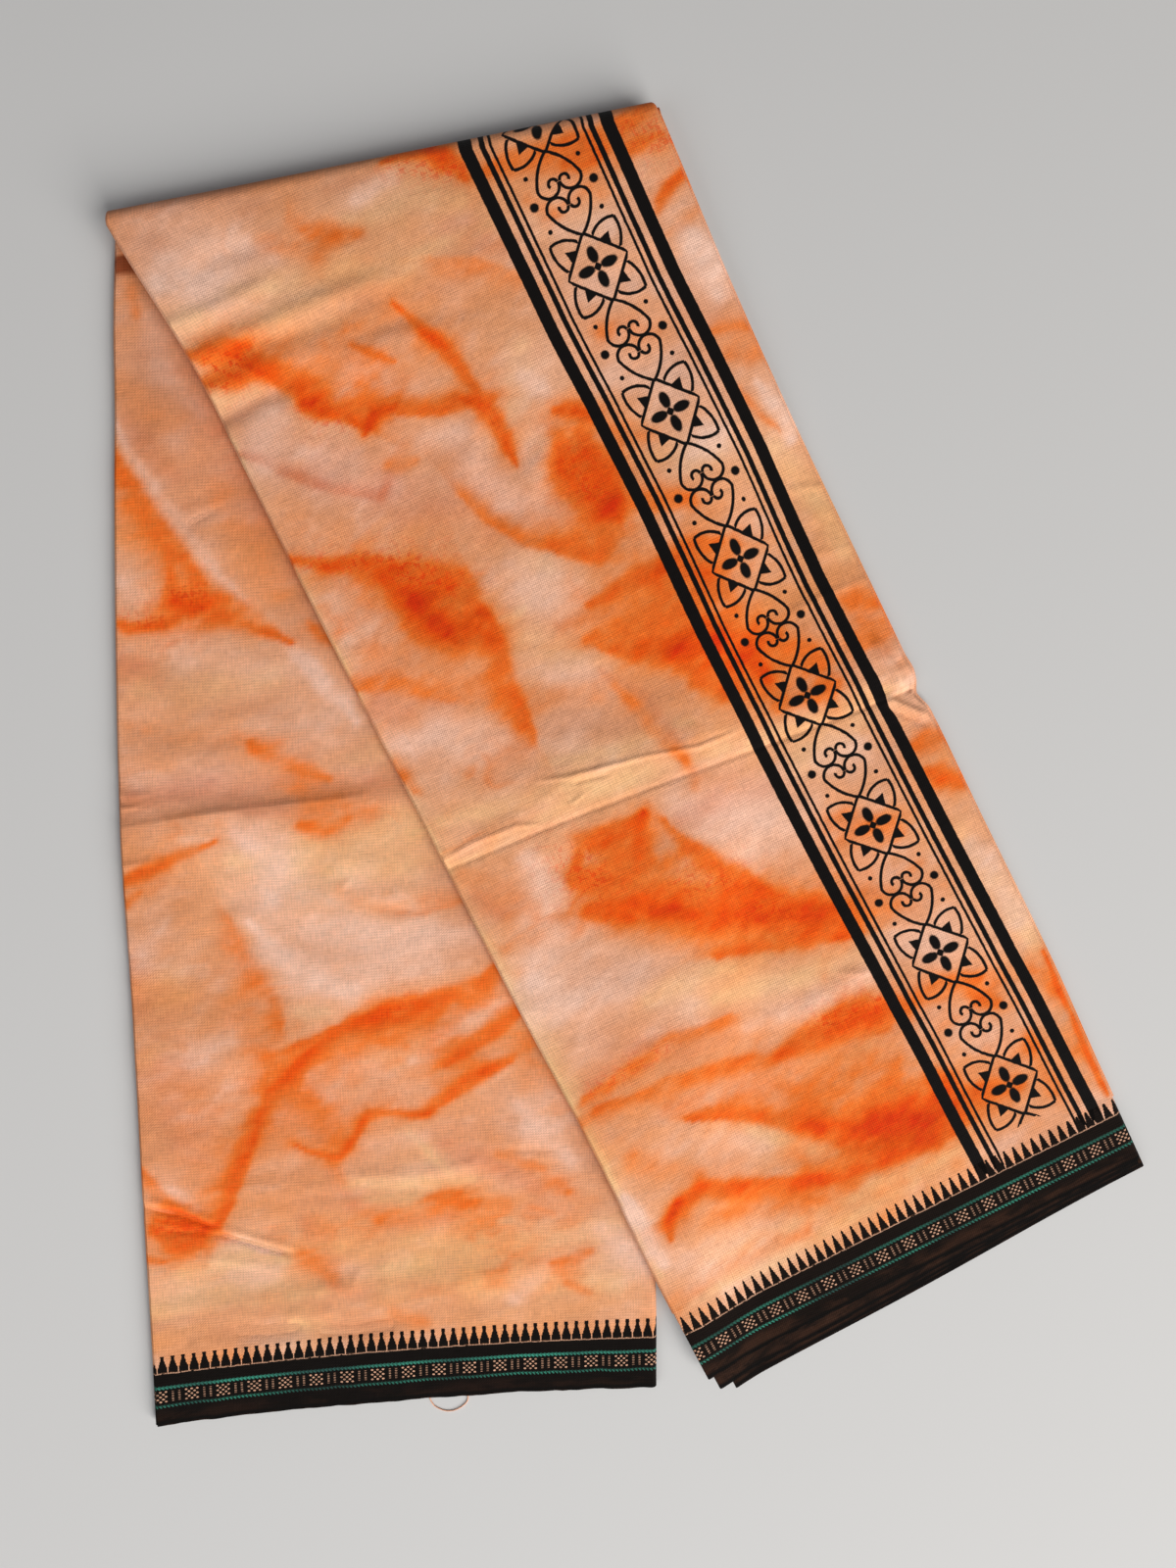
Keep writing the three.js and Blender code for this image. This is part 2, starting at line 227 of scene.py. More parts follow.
# Pinched lines in the cloth: path through (across, down from the turn), width, height
underPinches = [
    ([(2, 487), (20, 493), (36, 502)], 1.8, 0.9),
    ([(2, 491), (20, 497), (38, 507)], 1.7, -1.2),
    ([(37, 509), (52, 515), (70, 523)], 1.9, -1.6),
    ([(40, 506), (56, 513), (72, 520)], 1.8, 0.8),
    ([(8, 505), (24, 506), (38, 510)], 1.8, -0.7),
    ([(30, 521), (52, 526), (72, 533)], 2.6, 0.5),
    ([(0, 279), (8, 281), (16, 281)], 1.2, 0.8),
    ([(0, 286), (10, 287)], 1.2, 0.7),
    ([(0, 316), (8, 315), (16, 316)], 1.1, 0.8),
    ([(177, 480), (218, 485)], 1.3, -0.8),
    ([(104, 341), (110, 338)], 1.1, 0.7),
    ([(144, 466), (152, 478), (158, 492)], 1.6, 0.6),
    ([(0, 376), (6, 380)], 1.4, 0.4),
    ([(86, 534), (97, 547)], 2.4, 0.5),
    ([(105, 534), (99, 547)], 2.4, 0.45),
    ([(116, 532), (119, 546)], 2.4, 0.4),
]
overPinches = [
    ([(0, 321), (18, 318), (41, 317), (52, 320)], 1.2, 0.9),
    ([(0, 313), (4, 318), (2, 324)], 1.6, 0.9),
    ([(60, 300), (74, 303), (88, 304), (114, 306), (138, 310), (160, 309)], 1.0, 1.0),
    ([(76, 306.5), (92, 308)], 1.0, -0.8),
    ([(240, 287), (241, 302), (242, 316)], 2.8, 2.0),
    ([(233, 318), (240, 326), (247, 335)], 2.0, 2.2),
    ([(231, 322), (238, 331), (245, 339)], 1.6, -1.0),
    ([(246, 300), (247, 322)], 2.4, -1.2),
    ([(70, 316), (78, 313)], 1.0, 0.7),
    ([(205, 262), (225, 258), (250, 256)], 1.6, 0.6),
    ([(232, 200), (250, 203)], 1.4, 0.5),
    ([(228, 236), (250, 238)], 1.4, 0.5),
    ([(150, 442), (166, 448)], 1.4, 0.8),
    ([(150, 140), (166, 141)], 1.2, 0.5),
]


def planValue(plan, column, along):
    at, value = plan[:, 0], plan[:, column]
    last = len(at) - 1
    before, after = np.maximum(np.arange(last + 1) - 1, 0), np.minimum(np.arange(last + 1) + 1, last)
    slope = (value[after] - value[before]) / (at[after] - at[before])
    i = np.clip(np.searchsorted(at, along, side="right") - 1, 0, last - 1)
    span = at[i + 1] - at[i]
    t = np.clip((along - at[i]) / span, 0, 1)
    curve = ((1 + 2 * t) * (1 - t) ** 2 * value[i] + t * (1 - t) ** 2 * slope[i] * span
             + t * t * (3 - 2 * t) * value[i + 1] + t * t * (t - 1) * slope[i + 1] * span)
    return curve + slope[last] * np.maximum(along - 1, 0)


axisLeft = overPlan[0, 1:3]
axisRight = overPlan[0, 3:5]
axisWay = (axisRight - axisLeft) / np.linalg.norm(axisRight - axisLeft)
outward = np.array([-axisWay[1], axisWay[0]])


def upperBase(x, y):
    fromTurn = -((x - axisLeft[0]) * outward[0] + (y - axisLeft[1]) * outward[1])
    lift = rest["height"] * (1 - ease(fromTurn, 0, rest["turnFall"]))
    wide = ease(fromTurn, 0, rest["edgeRunFall"])
    run = rest["edgeRunAtTurn"] * (1 - wide) + rest["edgeRun"] * wide
    held = 1 - ease((x - rest["edgeX"] - rest["edgeStart"]) / run, 0, 1)
    return rest["height"] * held + lift


def clearOfUpper(x, y):
    down = (axisLeft[1] - y) / (axisLeft[1] - overPlan[-1, 2])
    edge = planValue(overPlan, 1, np.clip(down, 0, 1))
    return ease(edge - x, rest["clearFrom"], rest["clearTo"])


def foldRelief(folds, s, down):
    height = 0
    for across, at, turned, long, wide, lift in folds:
        dx, dy = s - across, down - at
        u = (dx * math.cos(turned) + dy * math.sin(turned)) / (long / 2)
        v = (dy * math.cos(turned) - dx * math.sin(turned)) / (wide / 2)
        height = height + lift * np.exp(-1.5 * u * u - v * v)
    return height


def pinchRelief(pinches, s, down):
    height = 0
    for path, wide, lift in pinches:
        d, share, _ = awayFrom(path, s, down)
        taper = np.clip(np.minimum(share, 1 - share) * 6 + 0.35, 0, 1)
        height = height + lift * taper * np.exp(-(d / wide) ** 2)
    return height


def legRelief(leg, s, down):
    # height of the top layer over a flat one: the pressed crease, the soft folds and the pinches
    under = leg is underLeg
    d = table(leg["crease"], 1, s) - down
    rise, lift = table(leg["rise"], 1, s), table(leg["lift"], 1, s)
    if under:
        crease = lift * np.where(d > 0, np.exp(-np.clip(d, 0, 99) / 3.4), np.exp(np.clip(d, -99, 0) / 26))
    else:
        away = (1 - np.clip((d - rise) / leg["fall"], 0, 1)) ** 1.8
        crease = np.where(d > 0, lift * np.clip(d / rise, 0, 1) ** 0.9 * away, 0)
        crease = crease - 0.6 * np.exp(-(d / 1.2) ** 2)
    soft = foldRelief(underFolds if under else overFolds, s, down)
    soft = soft + pinchRelief(underRidges if under else overRidges, s, down)
    waves = 0.26 * clouds(s / 34, down / 13, 5 if under else 9) + 0.14 * clouds(s / 13, down / 5.5, 3)
    waves = waves + 0.06 * clouds((s + down) / 7, (down - 0.4 * s) / 4, 8)
    fine = pinchRelief(underPinches if under else overPinches, s, down)
    return crease + soft + waves, fine


def hiddenRelief(leg, s, down):
    # hidden layers keep under the lowest spot of the face near them
    near = [legRelief(leg, s + across, down + along)
            for across in range(-8, 9, 2) for along in (-2.4, 0, 2.4)]
    return np.min([broad + fine for broad, fine in near], axis=0)


def topRelief(leg, s, down, height):
    # full on the top layer, and the hidden kind on the layers under it
    s, down, height = np.broadcast_arrays(s, down, height)
    relief = sum(legRelief(leg, s, down))
    low = height[0] < 5.0
    if low.any():
        under = hiddenRelief(leg, s[:, low], down[:, low]) - 0.4
        share = ease(height[:, low], 4.4, 5.0)
        relief[:, low] = under * (1 - share) + relief[:, low] * share
    return relief


def leftNudge(leg, s, down):
    # the folded edge bellies out a little at the left, most at the turn
    far = rest["nudgeTurn"] * (1 - ease(down, 0, 90))
    near = rest["nudgeLeg"] * ease(down, 0, 60) if leg is underLeg else 0
    return (far + near) * np.clip(1 - s / strip["width"], 0, 1) ** 4


def placeOnLeg(leg, s, along, height, hidden=False):
    share = s / strip["width"]
    x = planValue(leg["plan"], 1, along) * (1 - share) + planValue(leg["plan"], 3, along) * share
    y = planValue(leg["plan"], 2, along) * (1 - share) + planValue(leg["plan"], 4, along) * share
    down = along * leg["length"]
    relief = hiddenRelief(leg, s, down) if hidden else topRelief(leg, s, down, height)
    relief = relief * (1 - 0.8 * ease(along, 0.955, 1)) * ease(along, 0, 0.04)
    if leg is underLeg:
        relief = relief * clearOfUpper(x, y)
        y = y + rest["hemBow"] * 4 * share * (1 - share) * ease(along, rest["bowFrom"], 1)
        y = y + rest["ripple"] * clouds(s / 16, 0 * s + 0.5, 41) * ease(along, 0.95, 1)
        base = 0
    else:
        base = upperBase(x, y)
        pulled = 1.0 * np.exp(-((down - 308) / 5) ** 2) - 3.2 * np.exp(-((down - 323) / 5.5) ** 2)
        x = x + pulled * ease(s, 222, 250)
    x = x - leftNudge(leg, s, down)
    z = base + height * (1 + relief / strip["pack"])
    return np.stack(np.broadcast_arrays(x + strip["shift"][0], y + strip["shift"][1], z), -1)


def placeOnTurn(s, angle, height):
    radius = turn["inner"] + height
    share = (s / strip["width"])[..., None]
    plan = axisLeft * (1 - share) + axisRight * share + outward * (radius * np.sin(angle))[..., None]
    z = turn["axisHeight"] - radius * np.cos(angle)
    x = plan[..., 0] - rest["nudgeTurn"] * np.clip(1 - s / strip["width"], 0, 1) ** 4
    return np.stack([x + strip["shift"][0], plan[..., 1] + strip["shift"][1], z], -1)


# How one layer runs into the next

def layerHeight(k, mirrored):
    height = strip["firstLayer"] + strip["layerStep"] * k
    return strip["pack"] - height if mirrored else height


def foldedPath(layers, start, end, mirrored, rightEdge, spacing, bendPoints=7, hidden=None):
    # a layer's middle line in section: flat along each layer, round a bend to the next one
    path = []
    rightwards = start < strip["width"] / 2
    at = start
    for i, k in enumerate(layers):
        height = layerHeight(k, mirrored)
        nextHeight = layerHeight(layers[i + 1], mirrored) if i < len(layers) - 1 else height
        radius = abs(nextHeight - height) / 2
        last = i == len(layers) - 1
        side = strip["bendAt"] if last or not rightwards else rightEdge[k] - radius
        stop = end if last else side
        gap = hidden if hidden and height < 4.6 else spacing
        flat = np.linspace(at, stop, max(2, int(abs(stop - at) / gap) + 1))
        path += [(s, height) for s in flat]
        if not last:
            way = 1 if rightwards else -1
            turnWay = 1 if nextHeight > height else -1
            for t in np.linspace(0, math.pi, bendPoints + 2)[1:-1]:
                middle = (height + nextHeight) / 2
                path.append((side + way * radius * math.sin(t), middle - turnWay * radius * math.cos(t)))
            rightwards = not rightwards
            at = side
    return np.array(path)


# where each layer's right edge or bend lies
overRight = {7: 250.0, 4: 250.0, 6: 248.6, 5: 248.6, 0: 251.0, 1: 251.0}
underRight = {0: 250.2, 1: 250.2, 7: 249.6, 4: 249.6, 6: 248.4, 5: 248.4}
freeEnds = {"over": {3: 251.3, 2: 250.6}, "under": {3: 249.3, 2: 249.6}}

lip = strip["lip"]
farLip = strip["width"] - lip


def spacedRows(leg, start, end, spacing, fine):
    # mm down from the turn, closer together by the crease and the pinches
    rows, at = [], start
    while at < end - spacing * 0.4:
        rows.append(at)
        away = min(abs(at - middle) - half for middle, half in leg["fineRows"])
        at += fine + (spacing - fine) * float(ease(away, 0, 12))
    return np.array(rows + [end])


def leanRows(leg, rows, s):
    # the rows near the crease follow its line
    middle = table(leg["crease"], 1, 125)
    lean = np.exp(-((rows - middle) / 60) ** 2)
    return rows + (table(leg["crease"], 1, s) - middle) * lean


def trueHeight(leg, s, along):
    left, right = leg["cloth"]
    return (1 - along) * (left + (right - left) * np.clip(s / strip["width"], 0, 1))


# The dye, with painted shade and painted highlights

dyeAndShadeColours = {
    "peach": paintOf(231, 158, 113),
    "blushAndHighlight": paintOf(250, 206, 184),
    "creamAndHighlight": paintOf(252, 208, 148),
    "warmAndShade": paintOf(190, 120, 84),
    "roseAndShade": paintOf(216, 106, 64),
    "light": paintOf(242, 154, 88),
    "mid": paintOf(242, 124, 46),
    "strong": paintOf(240, 90, 12),
    "deep": paintOf(222, 52, 4),
    "shadow": paintOf(128, 54, 22),
}

# Each stroke: path through (s, y), widths along it, softness, strength, and for some the side it
# bleeds out on: 1 the left of its way, -1 the right. The other side then stays crisp.
overOrangeAndShade = [
    ([(0, 564), (14, 557), (28, 554)], (8, 13, 5), 4, 0.52),
    ([(0, 548), (12, 546), (24, 541)], (8, 9, 4), 4, 0.46),
    ([(20, 549), (34, 533), (47, 514), (61, 497)], (4, 8, 12, 3), 3.5, 0.62, 1),
    ([(40, 520), (50, 508)], (7, 6), 3, 0.30),
    ([(28, 546), (56, 534), (82, 524)], (12, 16, 10), 9, 0.12),
    ([(60, 494), (69, 500), (80, 500)], (2, 7, 2), 2.2, 0.78),
    ([(64, 508), (76, 514)], (6, 7), 6, 0.18),
    ([(78, 498), (94, 490), (112, 484)], (3, 5, 4), 4, 0.42, 1),
    ([(101, 542), (108, 524), (114, 506), (118, 488)], (2, 6, 6, 5), 3, 0.56),
    ([(106, 524), (112, 514)], (4, 5), 2, 0.40),
    ([(110, 488), (118, 480), (120, 466), (121, 449)], (5, 15, 8, 1), 2.4, 0.70),
    ([(116, 484), (119, 468)], (7, 5), 3, 0.36),
    ([(126, 552), (144, 543), (159, 528)], (3, 6, 4), 5, 0.36, -1),
    ([(72, 534), (80, 526), (88, 518)], (2, 4, 1), 2.6, 0.44),
    ([(60, 592), (80, 582), (98, 576)], (18, 20, 8), 7, 0.32),
    ([(78, 588), (90, 578)], (9, 6), 4, 0.24),
    ([(124, 600), (140, 598), (152, 594)], (3, 7, 8), 3, 0.60),
    ([(146, 596), (154, 586), (156, 578)], (10, 12, 5), 3, 0.56),
    ([(0, 457), (14, 446), (30, 438), (44, 430)], (4, 6, 8, 12), 3, 0.64),
    ([(40, 428), (56, 418), (70, 402), (75, 388)], (18, 24, 16, 6), 4.5, 0.56),
    ([(38, 424), (46, 408), (58, 392), (70, 382)], (10, 20, 24, 10), 4, 0.58),
    ([(47, 412), (52, 400), (56, 386)], (7, 9, 5), 3.5, 0.86),
    ([(76, 392), (74, 374), (70, 352), (70, 330)], (3, 9, 10, 8), 5, 0.50, -1),
    ([(14, 470), (26, 440), (20, 404)], (26, 24, 20), 14, 0.17),
    ([(66, 476), (77, 472)], (10, 8), 4, 0.32),
    ([(90, 448), (97, 430), (106, 413), (122, 400)], (3, 4, 4, 6), 3, 0.36, 1),
    ([(118, 402), (136, 391), (149, 398), (158, 411)], (6, 8, 9, 6), 4, 0.54, 1),
    ([(148, 464), (156, 458), (163, 452)], (2, 7, 9), 3, 0.66),
    ([(144, 452), (141, 434), (145, 416), (152, 402)], (14, 19, 20, 8), 3.2, 0.56),
    ([(154, 446), (156, 426), (152, 408)], (12, 14, 8), 4, 0.52),
    ([(142, 448), (138, 432)], (4, 5), 2.5, 0.36),
    ([(0, 386), (18, 380), (40, 361)], (6, 7, 2), 5, 0.34, 1),
    ([(122, 372), (140, 374), (164, 371)], (3, 9, 10), 4, 0.60),
    ([(112, 357), (138, 356), (164, 352)], (3, 7, 8), 5, 0.34),
    ([(118, 349), (138, 340), (150, 332)], (5, 14, 16), 5, 0.52, 1),
    ([(146, 338), (160, 328), (168, 318)], (12, 22, 18), 5, 0.80),
    ([(150, 316), (166, 304)], (10, 12), 5, 0.60),
    ([(232, 568), (250, 571)], (9, 8), 6, 0.46),
    ([(231, 555), (250, 552)], (7, 8), 5, 0.44),
    ([(231, 524), (240, 531), (251, 537)], (5, 6, 6), 3, 0.56),
    ([(232, 512), (250, 516)], (4, 6), 4, 0.24),
    ([(231, 463), (242, 461), (251, 455)], (4, 5, 3), 3, 0.36),
    ([(231, 432), (236, 420), (241, 406)], (6, 6, 1), 1.6, 0.32),
    ([(234, 450), (250, 442)], (8, 10), 8, 0.26),
    ([(236, 320), (250, 312)], (8, 10), 6, 0.42),
    ([(232, 300), (250, 294)], (10, 10), 8, 0.30),
    ([(165, 576), (190, 572), (214, 568)], (10, 14, 14), 7, 0.42),
    ([(202, 562), (218, 560)], (8, 8), 4, 0.62),
    ([(178, 556), (186, 546)], (7, 5), 5, 0.34),
    ([(184, 486), (208, 476)], (12, 10), 7, 0.34),
    ([(170, 440), (186, 430)], (9, 9), 6, 0.30),
    ([(164, 408), (188, 396)], (14, 12), 7, 0.46),
    ([(164, 374), (190, 372)], (12, 9), 6, 0.46),
    ([(176, 362), (184, 340)], (16, 14), 8, 0.40),
    ([(166, 336), (178, 316), (184, 300)], (20, 18, 10), 5, 0.78),
    ([(190, 322), (206, 300), (212, 284)], (14, 16, 10), 8, 0.42),
    ([(0, 344), (4, 330)], (8, 3), 3, 0.34, 1),
    ([(62, 352), (84, 340), (104, 330)], (10, 12, 8), 9, 0.20),
    ([(116, 330), (122, 306), (130, 284)], (4, 7, 5), 4, 0.30),
    # below the crease
    ([(58, 262), (64, 272), (80, 266), (100, 268)], (9, 12, 13, 5), 3.5, 0.54),
    ([(54, 256), (70, 250), (92, 248)], (12, 16, 12), 4, 0.56),
    ([(100, 269), (93, 258), (86, 247)], (5, 9, 9), 2.6, 0.66),
    ([(56, 238), (80, 230), (104, 216), (128, 200), (165, 186)], (10, 22, 26, 24, 14), 5.5, 0.54),
    ([(62, 230), (72, 227)], (6, 7), 3, 0.60),
    ([(78, 230), (90, 222), (100, 214)], (7, 11, 8), 4, 0.74),
    ([(128, 201), (140, 196)], (7, 6), 4, 0.50),
    ([(109, 262), (114, 246), (124, 226), (140, 208)], (1, 8, 14, 8), 2.6, 0.50, -1),
    ([(100, 190), (122, 184), (144, 176), (166, 168)], (3, 5, 6, 3), 3, 0.56, 1),
    ([(150, 192), (166, 180)], (20, 22), 8, 0.40),
    ([(6, 284), (16, 268), (30, 250)], (10, 12, 8), 8, 0.22),
    ([(130, 284), (128, 270)], (8, 5), 4, 0.24),
    ([(232, 240), (250, 238)], (10, 12), 5, 0.50),
    ([(236, 224), (250, 212)], (8, 12), 4, 0.58),
    ([(10, 156), (30, 160), (62, 164), (92, 160)], (5, 7, 5, 2), 3.5, 0.40, -1),
    ([(14, 149), (50, 146), (82, 139), (108, 132)], (2, 4, 7, 10), 3, 0.46, -1),
    ([(106, 132), (134, 129), (168, 128)], (9, 14, 18), 3.6, 0.60),
    ([(136, 136), (150, 134), (164, 130)], (4, 7, 7), 3, 0.42),
    ([(50, 124), (72, 112), (92, 99), (110, 88)], (2, 5, 9, 14), 2.6, 0.58, 1),
    ([(92, 110), (120, 104), (160, 98)], (12, 18, 22), 10, 0.28),
    ([(108, 88), (128, 76), (150, 71), (172, 72)], (10, 26, 32, 32), 5, 0.60),
    ([(128, 78), (144, 72), (160, 68)], (8, 14, 12), 5, 0.56),
    ([(98, 62), (126, 59), (172, 54)], (2, 8, 7), 2.4, 0.60, 1),
    ([(18, 74), (21, 84), (28, 88)], (3, 6, 6), 2.4, 0.44),
    ([(24, 88), (42, 91), (58, 82), (80, 73), (108, 63)], (5, 7, 7, 5, 4), 3, 0.56, -1),
    ([(44, 76), (80, 62), (110, 54)], (12, 14, 8), 9, 0.24),
    ([(16, 120), (30, 104), (44, 96)], (12, 14, 10), 8, 0.24),
    ([(2, 46), (40, 46), (80, 44)], (9, 9, 6), 6, 0.24),
    ([(176, 124), (196, 127), (212, 122)], (8, 9, 7), 6, 0.38),
    ([(204, 116), (214, 106)], (8, 7), 5, 0.38),
    ([(172, 86), (178, 62)], (12, 14), 6, 0.62),
    ([(190, 68), (208, 64)], (16, 18), 6, 0.56),
    ([(184, 286), (206, 282)], (10, 12), 8, 0.34),
    ([(182, 222), (204, 210)], (16, 10), 8, 0.30),
    ([(222, 84), (226, 44)], (7, 7), 7, 0.34),
    # painted shadow: the thin dark line between layers at the upper leg's right fold edge
    ([(247.5, 118), (248, 36)], (2.5, 3), 2, 0.60),
    ([(176, 182), (214, 170)], (18, 14), 12, 0.22),
    ([(238, 112), (248, 96)], (7, 6), 5, 0.34),
]
underOrangeAndShade = [
    ([(4, 596), (7, 570), (10, 548)], (7, 7, 3), 5, 0.30),
    ([(0, 520), (16, 504), (40, 488)], (10, 10, 10), 10, 0.18),
    ([(0, 486), (14, 458), (27, 438), (44, 416)], (6, 9, 10, 8), 3.2, 0.48, -1),
    ([(4, 470), (14, 444), (24, 428)], (16, 18, 14), 10, 0.26),
    ([(27, 424), (30, 410), (38, 406)], (3, 9, 12), 3, 0.66),
    ([(30, 408), (44, 408), (60, 400), (84, 386)], (10, 16, 13, 2), 3, 0.62),
    ([(30, 411), (44, 406)], (8, 6), 3, 0.66),
    ([(0, 401), (8, 398), (20, 399), (32, 402)], (7, 6, 3, 6), 2.6, 0.66),
    ([(92, 396), (100, 388), (110, 384)], (3, 7, 6), 3, 0.46),
    ([(50, 462), (64, 434), (80, 410)], (14, 14, 10), 12, 0.22),
    ([(8, 352), (40, 342), (80, 338)], (7, 8, 6), 8, 0.20),
    ([(66, 336), (86, 326), (102, 318)], (8, 9, 3), 4, 0.42),
    ([(80, 318), (96, 310), (110, 304)], (10, 12, 8), 7, 0.26),
    ([(0, 274), (14, 279), (30, 286), (46, 292)], (8, 8, 5, 1), 3, 0.56),
    ([(0, 276), (18, 280)], (4, 3), 2, 0.34),
    ([(0, 262), (8, 268)], (7, 3), 3, 0.46),
    ([(88, 296), (100, 294), (110, 298)], (6, 12, 8), 4.5, 0.46),
    ([(116, 300), (134, 304)], (8, 8), 5, 0.34),
    ([(106, 262), (134, 252), (166, 256)], (8, 10, 8), 8, 0.26),
    # painted shadow: a thin shadowed crease
    ([(126, 250), (146, 247), (168, 254)], (1, 2, 2), 1.6, 0.14),
    ([(50, 254), (58, 234), (66, 214), (71, 202)], (7, 11, 14, 12), 4.5, 0.36, -1),
    ([(46, 220), (58, 196), (66, 178)], (18, 16, 10), 10, 0.22),
    ([(26, 164), (40, 140), (40, 112)], (20, 20, 14), 12, 0.24),
    ([(184, 224), (172, 212), (152, 206), (126, 203), (108, 199)], (6, 10, 13, 11, 4), 3.2, 0.60, 1),
    ([(150, 200), (134, 199)], (9, 8), 4, 0.42),
    ([(116, 200), (100, 195), (86, 190), (78, 188)], (6, 6, 4, 1), 2.4, 0.58, 1),
    ([(116, 196), (124, 188), (134, 184)], (8, 8, 2), 4, 0.36),
    ([(96, 193), (86, 184), (76, 174), (66, 164), (59, 152)], (3, 5, 6, 6, 6), 2.6, 0.66, 1),
    ([(60, 154), (54, 138), (47, 122), (40, 102)], (6, 6, 6, 3), 3.0, 0.64, -1),
    ([(64, 158), (56, 140)], (4, 4), 2.6, 0.42),
    ([(76, 170), (88, 154), (98, 142)], (12, 16, 12), 7, 0.26),
    ([(192, 196), (182, 190), (168, 181), (152, 172)], (8, 7, 4, 2), 3, 0.50, -1),
    ([(184, 172), (168, 165), (152, 154), (140, 147)], (4, 8, 5, 3), 2.4, 0.60, -1),
    ([(176, 170), (160, 164)], (6, 5), 4, 0.30),
    ([(142, 147), (130, 149), (114, 151), (108, 141), (98, 131), (88, 133), (76, 137)],
     (2.5, 3.5, 5, 4, 4, 3, 1), 1.6, 0.66),
    ([(140, 146), (114, 150), (98, 132)], (3, 4, 4), 5, 0.34, -1),
    ([(94, 130), (100, 116)], (7, 3), 4, 0.26),
    ([(6, 100), (20, 96), (36, 99)], (10, 16, 7), 3.4, 0.62),
    ([(14, 90), (28, 90)], (6, 4), 3, 0.40),
    ([(0, 134), (10, 120), (20, 106), (30, 101)], (3, 5, 5, 3), 2.6, 0.44, -1),
    ([(8, 105), (22, 101), (37, 98)], (2, 3, 2), 1.4, 0.62),
    ([(0, 86), (10, 84)], (5, 2), 3, 0.42),
    ([(76, 82), (84, 76), (92, 68)], (10, 10, 5), 6, 0.30),
    ([(80, 100), (92, 92)], (8, 6), 6, 0.18),
    ([(116, 96), (140, 99), (164, 102)], (6, 10, 6), 4.5, 0.38),
    ([(140, 104), (156, 108)], (3, 2), 3, 0.30),
    ([(198, 112), (207, 105)], (9, 7), 4, 0.40),
    ([(176, 126), (196, 118)], (4, 4), 4, 0.30),
    ([(200, 68), (218, 72)], (4, 4), 3.4, 0.40),
    ([(206, 56), (218, 51)], (4, 3), 3.4, 0.38),
    ([(160, 88), (222, 96)], (14, 12), 12, 0.20),
    ([(170, 60), (210, 62)], (12, 10), 10, 0.20),
    ([(120, 46), (134, 40)], (10, 7), 7, 0.26),
    ([(236, 160), (250, 150)], (12, 10), 8, 0.30),
]

# Where drops of dye stand out darker
overDrops = [
    ([(8, 556), (26, 554)], (8, 7), 4, 1.0), ([(6, 547), (20, 545)], (6, 5), 3, 0.9),
    ([(40, 518), (52, 508)], (9, 8), 4, 0.7), ([(46, 428), (64, 412)], (16, 18), 5, 1.0),
    ([(8, 450), (40, 433)], (6, 8), 3, 0.6), ([(146, 440), (150, 414)], (18, 16), 5, 0.8),
    ([(56, 268), (66, 250)], (14, 16), 6, 0.9), ([(100, 232), (120, 220)], (14, 12), 6, 0.7),
    ([(128, 200), (148, 188)], (14, 12), 6, 0.7), ([(134, 134), (164, 130)], (10, 10), 4, 0.8),
    ([(126, 76), (160, 72)], (18, 20), 8, 0.5), ([(16, 158), (60, 162)], (6, 5), 3, 0.5),
    ([(232, 568), (250, 552)], (14, 14), 6, 0.6), ([(128, 600), (156, 582)], (6, 10), 3, 0.7),
    ([(116, 484), (119, 470)], (10, 6), 3, 0.5), ([(172, 330), (176, 306)], (12, 10), 6, 0.5),
]
underDrops = [
    ([(30, 414), (42, 406)], (12, 10), 4, 0.9), ([(6, 400), (24, 399)], (5, 4), 3, 0.7),
    ([(10, 100), (32, 97)], (10, 8), 4, 0.6), ([(140, 202), (124, 200)], (10, 8), 5, 0.4),
]
